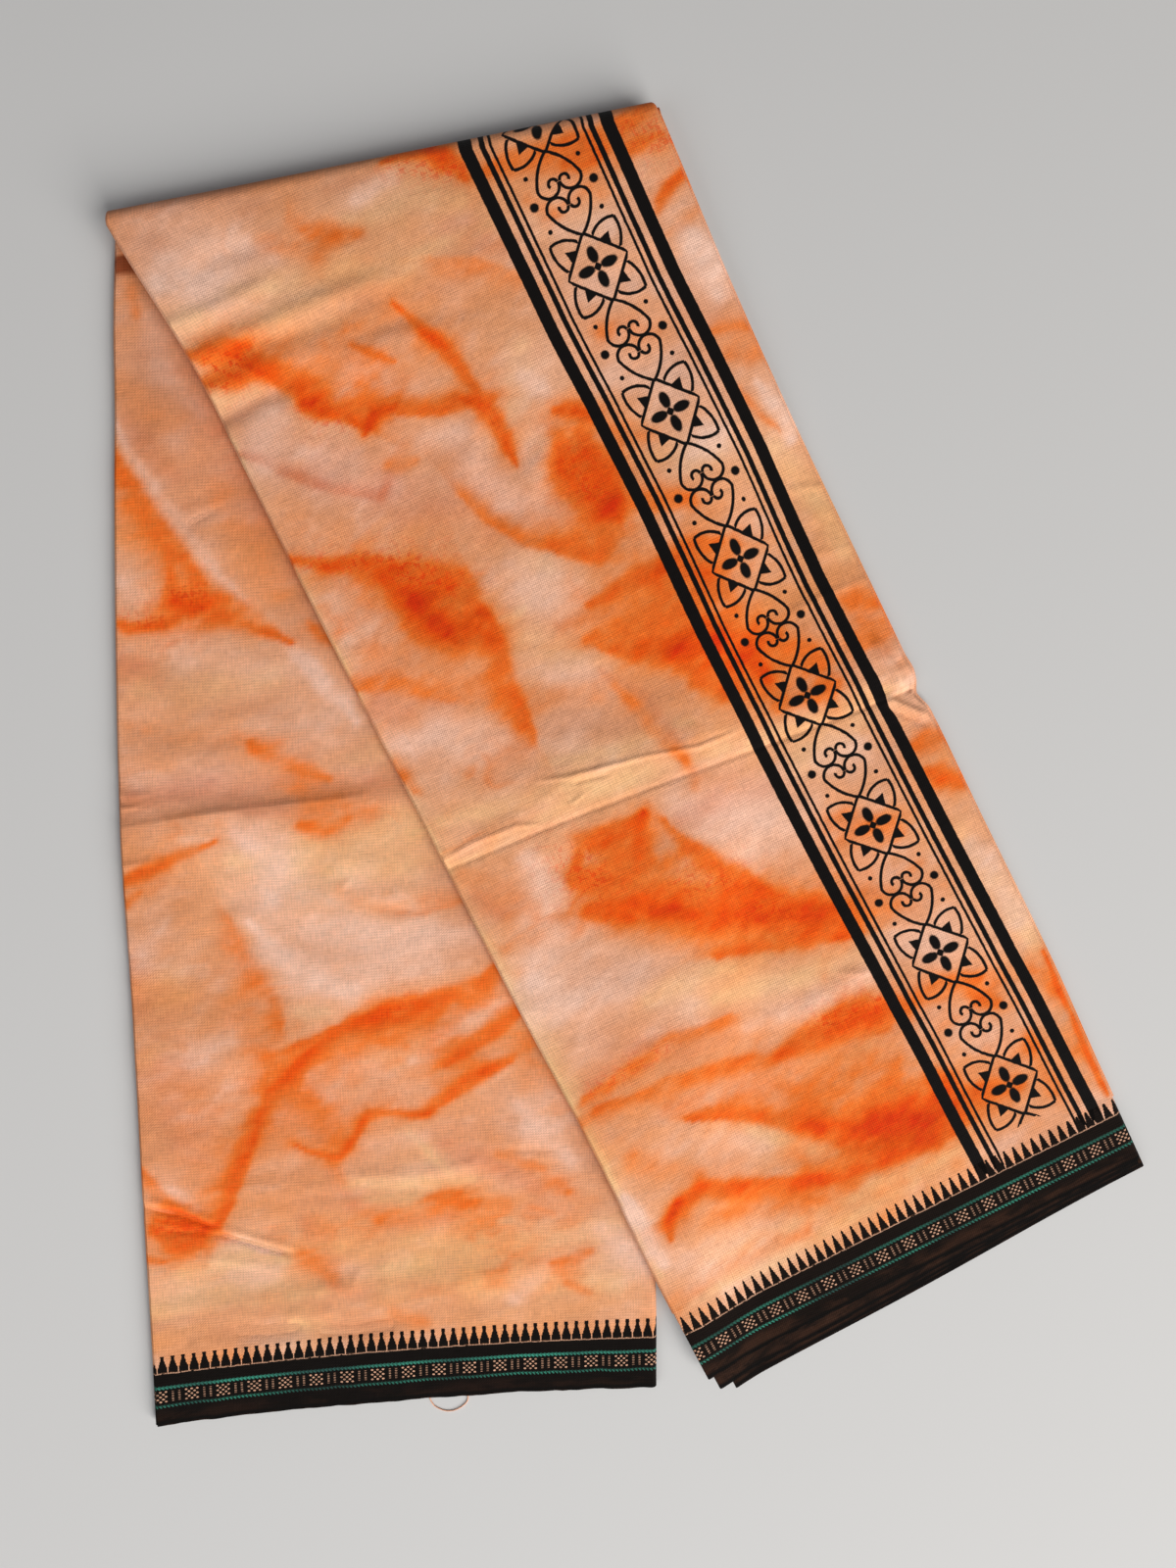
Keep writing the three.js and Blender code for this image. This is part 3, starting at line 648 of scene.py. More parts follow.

# Cream where the cloth took little dye, and painted highlights on lit slopes, ridges and the upper leg's left
# rim
overCreamAndHighlight = [
    # painted highlights: the lit soft ridges near the turn
    ([(0, 578), (30, 580), (54, 572)], (9, 8, 4), 4, 0.60),
    ([(0, 563), (50, 560), (100, 557), (158, 553)], (6, 7, 8, 6), 5, 0.42),
    ([(56, 572), (96, 562)], (10, 10), 7, 0.40),
    ([(98, 586), (128, 584), (150, 570)], (8, 12, 10), 9, 0.40),
    ([(0, 538), (26, 536)], (10, 5), 5, 0.45),
    ([(40, 548), (80, 545)], (4, 3), 3, 0.40),
    # painted highlight: the lit rim along the upper leg's left edge
    ([(0, 570), (0, 450), (1, 330)], (1.5, 1.5, 2), 1.4, 0.85),
    ([(1, 330), (2, 200), (3, 60)], (2, 3, 3), 2.4, 0.70),
    ([(2, 250), (6, 200), (4, 140)], (6, 10, 6), 6, 0.30),
    # painted highlight: the lit slope between the upper leg's crease and the pinch above it
    ([(0, 288), (48, 288), (80, 290), (150, 280)], (5, 5, 8, 8), 4, 0.44),
    ([(66, 312), (100, 306), (140, 298)], (4, 4, 5), 4, 0.36),
    ([(10, 312), (60, 300), (80, 296)], (7, 6, 4), 6, 0.42),
    ([(84, 294), (112, 290)], (10, 10), 6, 0.45),
    # painted highlight: the same lit slope above the crease, on to the right edge
    ([(160, 276), (200, 273), (232, 270)], (8, 7, 6), 4, 0.60),
    ([(60, 186), (90, 186), (104, 182)], (8, 7, 2), 6, 0.42),
    ([(90, 172), (130, 164), (166, 158)], (4, 9, 10), 6, 0.48),
    ([(72, 112), (88, 94), (104, 80), (116, 70)], (6, 12, 12, 3), 3, 0.62),
    ([(104, 48), (134, 48), (168, 47)], (6, 9, 6), 4, 0.55),
    ([(30, 56), (60, 52), (90, 50)], (8, 8, 6), 7, 0.36),
    ([(10, 40), (70, 38), (140, 40)], (4, 4, 4), 4, 0.40),
    ([(236, 190), (244, 150), (246, 120)], (10, 10, 7), 7, 0.42),
    ([(236, 400), (246, 370), (246, 340)], (10, 10, 8), 7, 0.45),
    ([(128, 474), (140, 486), (146, 496)], (10, 12, 8), 8, 0.36),
    # painted highlight on a small pale wedge
    ([(77, 388), (84, 384), (92, 386)], (1, 5, 3), 1.6, 0.80),
    ([(82, 374), (100, 356), (112, 346)], (12, 12, 6), 9, 0.36),
    ([(180, 258), (214, 262)], (14, 14), 9, 0.40),
    ([(182, 420), (210, 412)], (10, 14), 8, 0.42),
    ([(180, 542), (206, 532)], (14, 14), 8, 0.32),
    ([(104, 412), (112, 396)], (10, 8), 6, 0.30),
]
underCreamAndHighlight = [
    ([(14, 370), (44, 366), (76, 372)], (12, 14, 10), 9, 0.36),
    ([(96, 324), (126, 330)], (8, 10), 8, 0.30),
    ([(86, 284), (110, 288), (150, 292)], (14, 22, 16), 7, 0.62),
    ([(56, 280), (86, 276)], (10, 12), 8, 0.45),
    ([(104, 274), (150, 272)], (8, 8), 8, 0.36),
    ([(80, 202), (96, 200)], (8, 5), 4, 0.40),
    ([(20, 226), (8, 184)], (16, 12), 12, 0.22),
    ([(100, 116), (130, 114), (164, 112)], (4, 6, 4), 4, 0.52),
    ([(110, 107), (150, 109)], (3, 3), 3, 0.40),
    ([(134, 138), (144, 128), (152, 118)], (3, 3, 2), 3, 0.45),
    # painted highlight: the lit ridge of the tuck on the lower leg
    ([(37, 93), (50, 89), (68, 81)], (2, 4, 1), 1.6, 1.00),
    ([(18, 76), (60, 82), (96, 84)], (8, 8, 5), 6, 0.46),
    ([(130, 84), (170, 78), (230, 84)], (10, 12, 12), 9, 0.40),
    ([(0, 60), (60, 62), (130, 62), (230, 56)], (10, 12, 14, 14), 9, 0.44),
    ([(70, 46), (84, 42)], (6, 5), 4, 0.50),
    ([(120, 68), (150, 74), (170, 64)], (10, 10, 8), 7, 0.45),
]

# Pinkish white, the palest cloth, with a painted highlight on a ridge of the lower leg
overBlush = [
    ([(8, 596), (24, 588), (50, 594)], (16, 20, 12), 8, 0.72),
    ([(16, 606), (50, 604)], (10, 8), 8, 0.40),
    ([(54, 596), (60, 584)], (8, 10), 5, 0.45),
    ([(106, 590), (126, 592)], (9, 6), 6, 0.50),
    ([(30, 532), (20, 516), (12, 500)], (8, 16, 12), 7, 0.50),
    ([(44, 538), (56, 540)], (8, 6), 5, 0.30),
    ([(58, 512), (66, 522), (72, 530)], (12, 10, 6), 4, 0.48),
    ([(84, 508), (98, 504)], (8, 8), 6, 0.34),
    ([(30, 498), (44, 480), (60, 462)], (10, 18, 14), 7, 0.50),
    ([(82, 476), (98, 470), (104, 450), (112, 430)], (8, 16, 20, 14), 7, 0.62),
    ([(108, 432), (124, 424), (134, 412)], (14, 18, 8), 5, 0.56),
    ([(127, 452), (126, 436)], (8, 10), 4, 0.40),
    ([(140, 484), (146, 474)], (10, 10), 5, 0.66),
    ([(12, 424), (24, 408), (20, 392)], (16, 20, 12), 9, 0.36),
    ([(84, 404), (104, 388), (120, 378)], (14, 18, 10), 8, 0.55),
    ([(8, 356), (30, 348), (52, 334), (64, 322)], (12, 20, 18, 10), 8, 0.66),
    ([(86, 350), (104, 340), (112, 330)], (14, 16, 10), 8, 0.46),
    ([(38, 274), (42, 256), (32, 236), (16, 220)], (12, 22, 22, 20), 8, 0.66),
    ([(116, 268), (130, 256), (150, 246), (162, 232)], (10, 20, 20, 12), 7, 0.60),
    ([(126, 232), (148, 222)], (10, 10), 6, 0.34),
    ([(6, 206), (44, 200), (80, 200)], (18, 18, 6), 9, 0.44),
    ([(100, 150), (130, 148), (164, 146)], (8, 10, 8), 5, 0.55),
    ([(6, 102), (8, 88), (9, 66)], (8, 15, 16), 3, 0.80),
    ([(40, 132), (66, 128), (96, 120)], (8, 10, 6), 6, 0.42),
    ([(70, 102), (84, 90)], (12, 12), 6, 0.42),
    ([(18, 62), (50, 58)], (10, 8), 8, 0.30),
    ([(188, 540), (206, 528)], (18, 16), 8, 0.50),
    ([(180, 506), (214, 494)], (14, 12), 8, 0.50),
    ([(204, 460), (216, 446)], (9, 9), 6, 0.40),
    ([(176, 468), (200, 452)], (9, 9), 7, 0.34),
    ([(196, 416), (214, 420)], (12, 14), 7, 0.62),
    ([(238, 514), (244, 496), (242, 476)], (12, 14, 10), 6, 0.66),
    ([(240, 432), (248, 416), (246, 400)], (4, 10, 10), 3.5, 0.70),
    ([(190, 254), (212, 246)], (16, 14), 9, 0.45),
    ([(186, 158), (206, 140)], (18, 18), 8, 0.52),
    ([(240, 182), (244, 140)], (10, 9), 6, 0.48),
]
underBlushAndHighlight = [
    ([(16, 548), (24, 518), (42, 500)], (5, 8, 6), 6, 0.55),
    ([(3, 496), (16, 468), (32, 444), (50, 422), (64, 406)], (3, 6, 8, 7, 3), 2.2, 0.85),
    ([(4, 422), (14, 414), (24, 412)], (10, 14, 8), 5, 0.55),
    ([(80, 390), (92, 378), (104, 362), (116, 346)], (4, 8, 10, 6), 2.6, 0.85),
    ([(30, 388), (56, 382), (76, 374)], (10, 12, 10), 8, 0.34),
    ([(12, 318), (60, 320), (120, 318)], (8, 10, 8), 7, 0.36),
    ([(64, 344), (96, 342)], (10, 8), 8, 0.34),
    ([(58, 294), (74, 282), (72, 262)], (10, 20, 16), 7, 0.66),
    ([(62, 250), (72, 236), (84, 222), (110, 212)], (5, 12, 16, 12), 4, 0.68),
    ([(92, 244), (130, 240), (164, 238)], (16, 18, 12), 8, 0.56),
    ([(112, 222), (150, 222)], (12, 12), 8, 0.40),
    ([(186, 202), (174, 198), (160, 190), (148, 186)], (6, 9, 8, 3), 2.6, 0.85),
    ([(136, 176), (150, 180)], (5, 5), 4, 0.50),
    ([(104, 178), (124, 168)], (8, 7), 6, 0.36),
    ([(112, 136), (140, 138)], (8, 7), 6, 0.34),
    ([(186, 148), (200, 132), (212, 118)], (8, 11, 9), 6, 0.60),
    # painted highlight: the lit ridge of the tuck on the lower leg
    ([(37, 93), (50, 89), (68, 81)], (2, 4, 1), 1.4, 0.90),
    ([(12, 122), (24, 114), (30, 108)], (3, 6, 4), 3, 0.60),
    ([(180, 50), (196, 68)], (8, 9), 6, 0.52),
    ([(44, 74), (64, 70)], (8, 8), 7, 0.36),
    ([(224, 80), (236, 70), (248, 62)], (8, 12, 8), 7, 0.66),
    ([(190, 96), (210, 92)], (8, 8), 6, 0.36),
]

# Deeper peach and dusty brown, where the whole cloth took some dye, and painted shade: along the upper leg's
# rounded turn, in troughs and on the shaded side of the creases
overWarmAndShade = [
    # painted shade: the rounded top of the turn, where the cloth slopes away from the light
    ([(0, 634), (60, 622), (128, 606), (158, 600)], (14, 12, 8, 5), 6, 0.62),
    ([(58, 606), (84, 604)], (7, 5), 4, 0.55),
    ([(98, 602), (124, 598)], (6, 4), 3.5, 0.55),
    ([(2, 620), (16, 612)], (12, 10), 7, 0.50),
    # painted shade: the troughs under the soft ridges near the turn
    ([(0, 531), (24, 530), (44, 522)], (5, 5, 3), 3.5, 0.60),
    ([(26, 556), (60, 548), (92, 544)], (4, 5, 4), 3, 0.55),
    ([(56, 540), (100, 538), (120, 536)], (8, 8, 6), 7, 0.40),
    ([(80, 530), (104, 528)], (5, 4), 4, 0.35),
    # painted shade: the side of the upper crease's ridge that faces away from the light
    ([(66, 332), (96, 326), (130, 318), (158, 310)], (14, 22, 20, 10), 7, 0.60),
    ([(100, 318), (130, 312)], (8, 8), 5, 0.40),
    ([(58, 352), (86, 344)], (9, 9), 8, 0.34),
    ([(0, 474), (12, 446)], (16, 14), 9, 0.30),
    ([(60, 456), (84, 444)], (16, 14), 9, 0.30),
    ([(130, 546), (158, 524)], (18, 18), 12, 0.34),
    ([(234, 308), (244, 290)], (10, 10), 5, 0.50),
    ([(100, 256), (160, 258)], (8, 8), 8, 0.18),
    ([(50, 204), (90, 196)], (14, 8), 9, 0.26),
    ([(28, 182), (60, 176)], (7, 7), 6, 0.22),
]
overRose = [
    ([(0, 511), (12, 500), (32, 481), (54, 463)], (2, 3, 3, 3), 2.6, 0.50, 1),
    ([(54, 464), (62, 472), (74, 480)], (3, 6, 5), 4, 0.45),
    ([(30, 484), (50, 470)], (4, 3), 5, 0.30),
    ([(88, 452), (96, 430), (106, 413), (124, 401)], (3, 5, 5, 5), 3, 0.60, 1),
    ([(60, 450), (90, 440), (94, 424)], (10, 14, 8), 8, 0.26),
    ([(8, 382), (24, 374), (42, 360)], (5, 5, 3), 4, 0.45),
    ([(0, 376), (20, 366)], (12, 10), 7, 0.34),
    ([(104, 368), (130, 364), (160, 362)], (4, 5, 6), 4, 0.45),
    ([(112, 340), (122, 320), (128, 296), (132, 276)], (4, 6, 7, 4), 4, 0.46),
    ([(8, 270), (18, 256)], (8, 8), 6, 0.42),
    ([(12, 160), (46, 164), (90, 160)], (8, 8, 4), 4, 0.50),
    ([(110, 256), (150, 260), (164, 250)], (8, 8, 8), 8, 0.26),
    ([(56, 156), (90, 150)], (6, 5), 5, 0.30),
    ([(80, 560), (100, 540), (104, 522)], (8, 10, 6), 7, 0.24),
    ([(140, 560), (158, 544)], (14, 12), 8, 0.40),
    ([(234, 466), (250, 458)], (9, 8), 6, 0.34),
    ([(240, 306), (244, 288)], (8, 8), 4, 0.50),
]
underWarmAndShade = [
    ([(24, 600), (20, 560), (22, 520), (14, 490)], (30, 26, 20, 16), 9, 0.60),
    ([(40, 500), (64, 462), (90, 420), (112, 380)], (30, 32, 26, 12), 10, 0.62),
    ([(6, 384), (40, 362), (84, 350)], (12, 22, 14), 9, 0.42),
    ([(10, 346), (60, 336), (120, 330)], (12, 10, 9), 7, 0.46),
    # painted shade: the lower leg's crease line and the shaded band above it
    ([(0, 312), (60, 310), (190, 314)], (9, 8, 7), 5, 0.60),
    ([(0, 304), (60, 305), (140, 309)], (3, 3, 3), 2, 0.50),
    ([(20, 304), (90, 306), (140, 308), (180, 309)], (1.4, 1.6, 1.6, 1.4), 0.9, 0.60),
    ([(150, 270), (176, 236)], (14, 10), 8, 0.44),
    ([(190, 180), (216, 136), (236, 96)], (8, 8, 6), 7, 0.46),
    # painted shade: the troughs near the lower hem
    ([(30, 44), (66, 42)], (10, 7), 5, 0.50),
    ([(82, 42), (118, 39)], (8, 5), 4, 0.66),
    ([(0, 52), (50, 54), (110, 56)], (3, 4, 4), 4, 0.44),
    ([(132, 52), (160, 44)], (8, 8), 8, 0.30),
    ([(34, 452), (50, 458), (64, 460)], (1.6, 2, 1.6), 1.8, 0.60),
]
underRoseAndShade = [
    ([(38, 560), (44, 520), (60, 480), (76, 450), (100, 410)], (20, 22, 26, 24, 10), 10, 0.50),
    ([(6, 500), (20, 480), (30, 470)], (9, 9, 6), 6, 0.30),
    ([(4, 380), (20, 372)], (14, 10), 8, 0.40),
    # painted shade: the shaded band above the lower leg's crease
    ([(8, 316), (70, 316), (130, 312)], (10, 12, 10), 6, 0.34),
    ([(66, 304), (90, 302), (120, 298)], (8, 12, 10), 6, 0.36),
    ([(4, 230), (16, 180), (26, 140)], (22, 30, 20), 14, 0.32),
    ([(74, 160), (90, 148), (96, 136)], (10, 16, 12), 6, 0.60),
    ([(92, 126), (100, 112)], (8, 5), 4, 0.40),
    ([(104, 104), (130, 96), (164, 100)], (6, 10, 8), 5, 0.52),
    ([(80, 96), (88, 78), (90, 66)], (8, 12, 8), 6, 0.46),
    ([(90, 60), (130, 62), (150, 56)], (6, 8, 6), 7, 0.30),
    ([(150, 130), (176, 120), (196, 106)], (8, 9, 10), 7, 0.40),
    ([(0, 96), (12, 108)], (10, 8), 5, 0.34),
]


def front(x, y, seed, slow, sharp):
    # the edge of a wet patch: quick to fade outside it, slow inside
    level = clouds(x, y, seed)
    return np.exp(-np.clip(level, 0, 9) * slow + np.clip(level, -9, 0) * sharp)


def paint(strokes, s, y, ragged, seed):
    # lays soft strokes over one another, with edges that wander as dye does
    wander = [sum(size * ragged * clouds(s / reach, y / reach, seed + k + shift)
                  for k, (size, reach) in enumerate([(1.5, 34), (0.7, 12), (0.22, 4.4)]))
              for shift in (0, 11)]
    patchy = 0.90 + 0.42 * clouds(s / 15, y / 10, seed + 31) + 0.10 * clouds(s / 5, y / 4, seed + 33)
    fibres = 1 + 0.16 * clouds((s + 0.45 * y) / 12.0, (y - 0.3 * s) / 3.6, seed + 47)
    bare = np.ones(np.shape(s))
    for path, widths, soft, strength, *side in strokes:
        path = np.asarray(path, float)
        reach = max(widths) + 8 * soft + 4 * ragged
        low, high = path.min(0) - reach, path.max(0) + reach
        near = (s > low[0]) & (s < high[0]) & (y > low[1]) & (y < high[1])
        if not near.any():
            continue
        d, share, left = awayFrom(path, s[near] + wander[0][near], y[near] + wander[1][near])
        half = np.interp(share, np.linspace(0, 1, len(widths)), widths) / 2
        half = half * (0.5 + 0.5 * ease(np.minimum(share, 1 - share), 0, 0.25))
        lean = side[0] * left if side else 0
        out = soft * (1 + 2.2 * np.clip(lean, 0, 1)) + (0.7 - soft) * 0.85 * np.clip(-lean, 0, 1)
        core = np.exp(-(d / (0.80 * half + 0.40 * out)) ** 2.6)
        halo = np.exp(-(d / (1.05 * half + 2.1 * out)) ** 1.5) * fibres[near]
        bare[near] *= 1 - np.clip(strength * patchy[near] * (0.62 * core + 0.40 * halo), 0, 0.97)
    return 1 - bare


def blend(tone, share, dyeAndShade):
    share = np.clip(share, 0, 1)[..., None]
    return tone * (1 - share) + np.array(dyeAndShadeColours[dyeAndShade]) * share


def dyeAndShadeAt(leg, s, y):
    # the cloth's colour at each spot, dye together with painted shade and painted highlights by the turn,
    # creases, ridges and edges, and how much drops of dye stand out there
    under = leg is underLeg
    seed = 133 if under else 31
    orangeAndShade = paint(underOrangeAndShade if under else overOrangeAndShade, s, y, 1.7, 21) * (0.88 if under else 1.0)
    creamAndHighlight = paint(underCreamAndHighlight if under else overCreamAndHighlight, s, y, 2.4, 51)
    blushAndHighlight = paint(underBlushAndHighlight if under else overBlush, s, y, 2.6, 61)
    warmAndShade = paint(underWarmAndShade if under else overWarmAndShade, s, y, 3.0, 71)
    roseAndShade = paint(underRoseAndShade if under else overRose, s, y, 2.0, 81)
    drops = paint(underDrops if under else overDrops, s, y, 2.0, 91)
    washS, washY = s + 0.35 * y, y - 0.2 * s
    haze = clouds(washS / 42, washY / 22, seed)
    fine = clouds(washS / 15, washY / 7, seed + 5)
    feather = clouds((s + 0.6 * y) / 9, (y - 0.35 * s) / 3.2, seed + 9)
    wet = front(washS / 34, washY / 19, seed + 13, 3.0, 7) * ease(clouds(s / 40, y / 30, seed + 15), 0.0, 0.7)
    dry = front(washS / 27, washY / 15, seed + 19, 2.6, 8)
    dry = dry * ease(clouds(s / 34, y / 30, seed + 21), -0.2, 0.6)
    tone = np.broadcast_to(np.array(dyeAndShadeColours["peach"]), (*np.shape(s), 3))
    tone = blend(tone, 0.44 * ease(-haze, 0.0, 0.8) + 0.24 * ease(-fine, 0.1, 0.8) + 0.50 * dry, "blushAndHighlight")
    tone = blend(tone, 0.50 * ease(haze, 0.0, 0.7) + 0.26 * ease(fine, 0.1, 0.8), "light")
    tone = blend(tone, creamAndHighlight * (1 - 0.3 * orangeAndShade), "creamAndHighlight")
    tone = blend(tone, blushAndHighlight * (1.36 + 0.34 * feather) * (1 - 0.5 * orangeAndShade), "blushAndHighlight")
    tone = blend(tone, roseAndShade * (1.05 + 0.3 * feather), "roseAndShade")
    tone = blend(tone, warmAndShade * 0.74, "warmAndShade")
    depth = 1 - (1 - orangeAndShade) * (1 - 0.30 * wet * (1 - 0.7 * blushAndHighlight) * (1 - 0.6 * creamAndHighlight))
    depth = depth * (1 + 0.24 * fine + 0.14 * feather)
    steps, shades = (0.08, 0.40, 0.72, 0.98), ("light", "mid", "strong", "deep")
    shade = np.stack([np.interp(depth, steps, [dyeAndShadeColours[k][i] for k in shades]) for i in range(3)], -1)
    share = ease(depth, -0.04, 0.50)[..., None]
    tone = tone * (1 - share) + shade * share
    dusk = 0.93 + 0.10 * clouds(s / 55, y / 30, seed + 41) + 0.07 * clouds(washS / 16, washY / 6, seed + 43)
    tone = tone * np.clip(dusk, 0.7, 1.06)[..., None] ** np.array([1.0, 1.06, 1.08])
    if under:
        # the shaded mouth of the fold below the turn
        mouth = ease(y, 565.5, 569.0) * ease(-y, -577.5, -576.0) * (1 - 0.6 * ease(s, 14, 60))
        tone = blend(tone, 0.9 * mouth, "shadow")
    return np.concatenate([tone, drops[..., None]], -1)


# The printed band

band = {
    # y, s of the band's middle line
    "middle": [(36, 205.8), (51, 205.0), (85, 203.3), (124, 201.2), (177, 199.9), (248, 198.3),
               (335, 196.5), (403, 197.7), (458, 196.8), (497, 195.0), (531, 194.5), (568, 194.3),
               (640, 194.3)],
    "diamonds": [64.4, 140.7, 212.6, 284.8, 359.2, 437.4, 513.5, 588.5],   # y of each one
    "pitch": 75.0,
    "aside": 0.4,                 # the motifs lie this far right of the middle
    "thick": (29.2, 35.35), "medium": (23.5, 26.1), "thin": (20.45, 21.85),
    "line": 1.6,
    "soft": 0.45,
    "motifsFrom": 43.0, "barsFrom": 27.0,   # y where they end
    "ink": (0.0030, 0.0018, 0.0016),
}


def bandPlace(s, y):
    # mm across from the band's middle, and along it with a diamond at each whole pitch
    across = s - table(band["middle"], 1, y)
    at = np.array(band["diamonds"])
    count = np.arange(len(at)) * band["pitch"]
    along = np.interp(y, at, count)
    along = np.where(y < at[0], y - at[0], along)
    along = np.where(y > at[-1], count[-1] + y - at[-1], along)
    return across, along


# Meshes

def outwardOf(points, topUp):
    # unit normals of a grid of points; for a face they point up on its top layer
    downRows, across = np.gradient(points, axis=0), np.gradient(points, axis=1)
    normal = np.cross(across, downRows)
    normal = normal / np.maximum(np.linalg.norm(normal, axis=-1, keepdims=True), 1e-9)
    if topUp is not None and normal[:, topUp, 2].mean() < 0:
        return -normal, True
    return normal, False


def keptOf(points, reach):
    # places along a line that the hidden inner side keeps: a spot at least each reach mm, and bends
    way = np.diff(points, axis=0)
    steps = np.linalg.norm(way, axis=-1)
    way = way / np.maximum(steps[:, None], 1e-9)
    bend = np.concatenate([[0], np.arccos(np.clip((way[:-1] * way[1:]).sum(-1), -1, 1)), [0]])
    kept, since = [0], 0.0
    for i in range(1, len(points) - 1):
        since += steps[i - 1]
        if since >= reach or bend[i] > 0.2:
            kept.append(i)
            since = 0.0
    return np.array(kept + [len(points) - 1])


def lowest(values, reach):
    out = values.copy()
    for axis in (0, 1):
        wide = np.pad(out, [(reach, reach) if k == axis else (0, 0) for k in (0, 1)], mode="edge")
        spots = [np.take(wide, range(k, k + values.shape[axis]), axis=axis) for k in range(2 * reach + 1)]
        out = np.min(spots, axis=0)
    return np.maximum(out, values - 1.2)


def gridMesh(name, sheets, material, step=1, reach=0.0):
    # A closed shell from sheets, each one a grid of rows by columns: fine outside, coarser inside.
    # A sheet is a dictionary with points, cloth, bandAt, dyeAndShade (dye with painted shade and highlights)
    # and the columns of its top layer.
    points, faces, rims, cloth, bandAt, dyeAndShade, count = [], [], [], [], [], [], 0
    for sheet in sheets:
        grid = sheet["points"]
        rows, columns = grid.shape[:2]
        normal, turned = outwardOf(grid, sheet["top"])
        outer = grid + normal * strip["cloth"] / 2
        keptColumns, keptRows = keptOf(grid[rows // 2], reach), keptOf(grid[:, sheet["top"] or 0], reach)
        level = grid.copy()
        if step > 1:
            under, over = lowest(grid[..., 2], step), -lowest(-grid[..., 2], step)
            faceDown = np.where(normal[..., 2] < -0.5, over, grid[..., 2])
            level[..., 2] = np.where(normal[..., 2] > 0.5, under, faceDown)
        inner = (level - normal * strip["cloth"] / 2)[np.ix_(keptRows, keptColumns)]
        far = count + np.arange(rows * columns).reshape(rows, columns)
        near = count + rows * columns + np.arange(inner.shape[0] * inner.shape[1]).reshape(inner.shape[:2])
        quads = np.stack([far[:-1, :-1], far[:-1, 1:], far[1:, 1:], far[1:, :-1]], -1).reshape(-1, 4).tolist()
        back = [near[:-1, :-1], near[1:, :-1], near[1:, 1:], near[:-1, 1:]]
        quads += np.stack(back, -1).reshape(-1, 4).tolist()
        edges = []
        for end, flip in ((0, True), (-1, False)):
            edges += [(far[end], near[end], keptColumns, flip),
                      (far[:, end], near[:, end], keptRows, not flip)]
        rim = []
        for outside, inside, kept, flip in edges:
            for k, (a, b) in enumerate(zip(kept[:-1], kept[1:])):
                ring = [int(v) for v in outside[a:b + 1]] + [int(inside[k + 1]), int(inside[k])]
                rim.append(ring[::-1] if flip else ring)
        if turned:
            quads, rim = [q[::-1] for q in quads], [r[::-1] for r in rim]
        faces += quads
        rims += rim
        points += [outer.reshape(-1, 3), inner.reshape(-1, 3)]
        for values, key, size in ((cloth, "cloth", 2), (bandAt, "bandAt", 2), (dyeAndShade, "dyeAndShade", 4)):
            value = sheet[key]
            values += [value.reshape(-1, size), value[np.ix_(keptRows, keptColumns)].reshape(-1, size)]
        count += rows * columns + inner.shape[0] * inner.shape[1]
    mesh = bpy.data.meshes.new(name)
    mesh.from_pydata((np.concatenate(points) * metre).tolist(), [], faces + rims)
    corner = np.empty(len(mesh.loops), np.int32)
    mesh.loops.foreach_get("vertex_index", corner)
    for layer, values in (("cloth", cloth), ("band", bandAt)):
        uv = mesh.uv_layers.new(name=layer)
        uv.data.foreach_set("uv", np.concatenate(values)[corner].astype(np.float32).ravel())
    colour = mesh.color_attributes.new("dyeAndShade", "FLOAT_COLOR", "POINT")
    colour.data.foreach_set("color", np.concatenate(dyeAndShade).astype(np.float32).ravel())
    mesh.polygons.foreach_set("use_smooth", np.ones(len(mesh.polygons), bool))
    edge = np.empty(len(mesh.loops), np.int32)
    mesh.loops.foreach_get("edge_index", edge)
    rimFrom = sum(len(face) for face in faces)
    sides = np.bincount(edge[:rimFrom], minlength=len(mesh.edges)) == 1  # the cloth's cut edges stay sharp
    mesh.attributes.new("sharp_edge", "BOOLEAN", "EDGE").data.foreach_set("value", sides)
    mesh.materials.append(material)
    piece = bpy.data.objects.new(name, mesh)
    bpy.context.scene.collection.objects.link(piece)
    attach(piece, "root")
    return piece


def runLength(path):
    return np.concatenate([[0], np.cumsum(np.hypot(*np.diff(path, axis=0).T))])


def topColumn(path):
    # a column in the middle of a face's top layer, or None for hidden layers
    if path[:, 1].max() < 4.6:
        return None
    return int(np.argmin(np.abs(path[:, 0] - strip["width"] / 2) + 900 * (path[:, 1] < 4.6)))


def legSheet(leg, path, rows, hidden=False, out=None, droop=0.0):
    # one run of cloth down a leg, from its section path and its rows (mm down from the turn)
    s, height = np.broadcast_arrays(path[None, :, 0], rows[:, None])[0], path[None, :, 1]
    inside = np.clip(s, 0, strip["width"])
    down = leanRows(leg, rows[:, None], inside)
    along = down / leg["length"]
    if out is not None:
        share = ease(along, 1 - 36 / leg["length"], 1)
        along = along + share * out(inside) / leg["length"]
        height = height * (1 - droop * ease(along, 1 - 6 / leg["length"], 1 + 8 / leg["length"]))
    height = np.broadcast_to(height, along.shape)
    y = trueHeight(leg, inside, down / leg["length"])
    acrossCloth = np.broadcast_to(runLength(path)[None, :], along.shape)
    dyeAndShade = dyeAndShadeAt(leg, inside, y)
    bandAcross, bandAlong = bandPlace(inside, y)
    offBand = 0 if leg is overLeg and path[:, 1].max() > 4.6 else 400
    bandAcross = np.where(height > 4.6, bandAcross, 400) + offBand
    return {
        "points": placeOnLeg(leg, s, along, height, hidden),
        "cloth": np.stack([acrossCloth, y], -1),
        "bandAt": np.stack(np.broadcast_arrays(bandAcross, bandAlong), -1),
        "dyeAndShade": dyeAndShade,
        "top": topColumn(path),
    }


